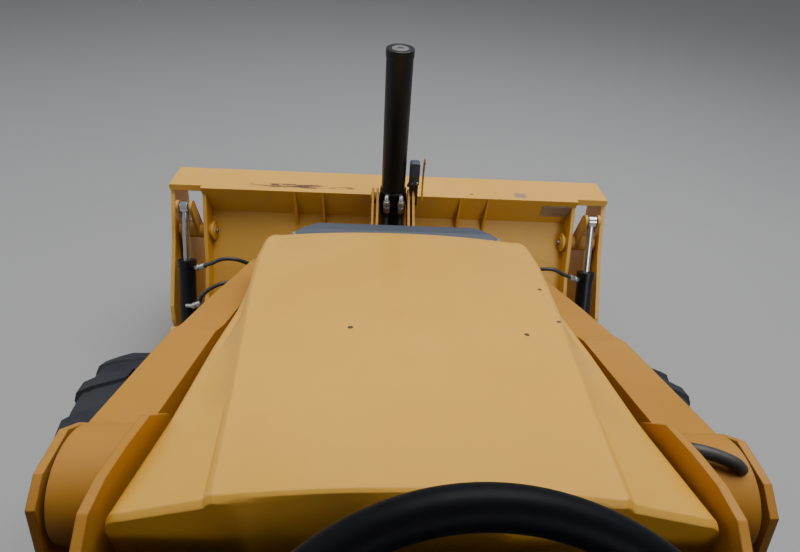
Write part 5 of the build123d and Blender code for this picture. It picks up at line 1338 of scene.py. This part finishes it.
# Controls: the steering wheel's hub cover, two gauges on the console, three
# pedals on the floor, and rubber boots where the levers leave their stands.
column_lean = math.radians(41)
column_axis = Vector((0, -math.sin(column_lean), math.cos(column_lean)))
hub_middle = placed(0, 1023, 1984)
turned_piece("wheel_hub_cover", [(-0.012, 0.036), (-0.008, 0.041), (0.000, 0.041), (0.008, 0.034), (0.012, 0.022),
                                 (0.013, 0.004)],
             hub_middle, column_axis, grained_black, "steering_wheel", 40)
gauge_out = Vector((0, -0.447, 0.894))
dial_face = finish_material("dial_face", (0.01, 0.01, 0.011, 1), (0.015, 0.015, 0.016, 1), 0.25, dust=0.0, streaks=0.0,
                            wear=0.0, bump=0.0)
for side, hand in ((-1, "left"), (1, "right")):
    spot = placed(side * 105, 1185, 1717)
    turned_piece("gauge_bezel_" + hand, [(-0.006, 0.036), (0.005, 0.036), (0.009, 0.033), (0.009, 0.029),
                                         (0.004, 0.028), (0.004, 0.010)],
                 spot, gauge_out, dial_face, "root_frame", 40)
    turned_piece("gauge_hand_hub_" + hand, [(0.003, 0.006), (0.007, 0.006), (0.008, 0.004)], spot, gauge_out,
                 plated_steel, "root_frame", 20)
for number, x in enumerate((228, 316, 398)):
    pad = [placed(x + dx, f, z) for dx, f, z in ((-30, 1150, 1190), (30, 1150, 1190), (30, 1196, 1262), (-30, 1196, 1262))]
    plate_piece("pedal_%d" % number, pad, 0.010, grained_black, "root_frame", edge=0.003)
    pipe("pedal_arm_%d" % number, [placed(x, 1176, 1216), placed(x, 1206, 1190), placed(x, 1230, 1140),
                                   placed(x, 1236, 1112)], 0.008, black_paint, "root_frame", 12, 6)
boot_profile = [(0.0, 0.038), (0.006, 0.038)]
for fold in range(4):
    size = 0.033 - 0.005 * fold
    boot_profile += [(0.010 + fold * 0.014, size), (0.016 + fold * 0.014, size + 0.003),
                     (0.020 + fold * 0.014, size - 0.003)]
boot_profile += [(0.070, 0.012), (0.071, 0.009)]
for number, (x, f, z, dx, df, dz) in enumerate(((-130, -520, 1500, 0, 20, 200), (130, -520, 1500, 0, 20, 200),
                                                (475, 560, 1520, -5, 40, 170))):
    turned_piece("lever_boot_%d" % number, boot_profile, placed(x, f, z - 1), Vector((dx, df, dz)), grained_black,
                 "root_frame", 28)

# Cab outside: rubber seals round every pane, door handles with their locks, and
# the lenses of the eight roof lamps in black bezels.
seal_rubber = finish_material("seal_rubber", (0.008, 0.008, 0.009, 1), (0.014, 0.014, 0.015, 1), 0.5, dust=0.1,
                              streaks=0.0, wear=0.0)
door_pane = [(674, 1455), (1336, 1455), (1336, 1602), (1296, 2656), (674, 2656)]
for side, hand in ((-1, "left"), (1, "right")):
    for number, x in enumerate((708, 736)):
        loop_tube("door_seal_%s_%d" % (hand, number),
                  rounded_loop([placed(side * x, f, z) for f, z in door_pane], 0.030), 0.009, seal_rubber,
                  "door_" + hand, 8)
    side_pane = [(-652, 1494), (586, 1494), (586, 2676), (-642, 2676)]
    loop_tube("side_seal_" + hand, rounded_loop([placed(side * 662, f, z) for f, z in side_pane], 0.020), 0.008,
              seal_rubber, "root_frame", 8)
    turned_piece("door_lock_" + hand, [(-0.004, 0.013), (0.004, 0.013), (0.006, 0.011), (0.006, 0.004)],
                 placed(side * 738, 1240, 1360), (side, 0, 0), plated_steel, "door_" + hand, 24)
    pipe("door_handle_" + hand, [placed(side * x, f, z) for x, f, z in (
        (737, 1160, 1460), (772, 1162, 1468), (780, 1166, 1500), (780, 1170, 1590), (772, 1168, 1622),
        (737, 1166, 1630))], 0.009, grained_black, "door_" + hand, 14, 6)
rear_pane = [placed(x, f, z) for x, f, z in ((-624, -688, 1566), (624, -688, 1566), (624, -680, 2674), (-624, -680, 2674))]
loop_tube("rear_seal", rounded_loop(rear_pane, 0.030), 0.008, seal_rubber, "root_frame", 8)


def lamp_bezel(width, height, depth):
    """A rounded rectangular frame round a lamp's lens, standing on the XY plane."""
    rows = []
    for z, grow in ((0, 0.004), (depth, 0.002), (depth, -0.004), (0.3 * depth, -0.005)):
        loop = rounded_loop([(x * (width / 2 + grow), y * (height / 2 + grow), z)
                             for x, y in ((-1, -1), (1, -1), (1, 1), (-1, 1))], 0.010, 4)
        rows += loop
    n = len(rows) // 4
    return block_mesh(rows, loft_faces(4, n, closed=True)
                      + [tuple(3 * n + k for k in range(n)), tuple(reversed(range(n)))])


def lamp_lens(width, height, depth):
    """A slightly domed rectangular lens."""
    rows = []
    for z, size in ((0.2, 1.0), (0.55, 1.0), (0.8, 0.93), (0.95, 0.72), (1.0, 0.35)):
        rows += rounded_loop([(x * width / 2 * size, y * height / 2 * size, z * depth)
                              for x, y in ((-1, -1), (1, -1), (1, 1), (-1, 1))], 0.006 * size, 3)
    n = len(rows) // 5
    return block_mesh(rows, loft_faces(5, n, closed=True)
                      + [tuple(4 * n + k for k in range(n)), tuple(reversed(range(n)))])


lamp_lens_finish = finish_material("lamp_lens_finish", (0.62, 0.64, 0.66, 1), (0.55, 0.57, 0.58, 1), 0.08, dust=0.05,
                                   streaks=0.0, wear=0.0, bump=0.05, coat=0.6)
lamp_places = [(placed(x, f, 2817), (0, way, 0)) for x in (-560, -400, 400, 560) for f, way in ((1442, 1), (-792, -1))]
fastened("roof_lamp_bezels", lamp_bezel(0.040, 0.096, 0.008), lamp_places, grained_black, "root_frame")
fastened("roof_lamp_lenses", lamp_lens(0.034, 0.090, 0.007), lamp_places, lamp_lens_finish, "root_frame")
hinge_places = [(placed(side * 744, 630, z), (side, 0, 0)) for side in (-1, 1) for z in (1386, 1414, 2466, 2494)]
for side, hand in ((-1, "left"), (1, "right")):
    fastened("door_hinge_bolts_" + hand, hex_head(0.006, 0.005),
             [place for place in hinge_places if place[1][0] == side], plated_steel, "door_" + hand)
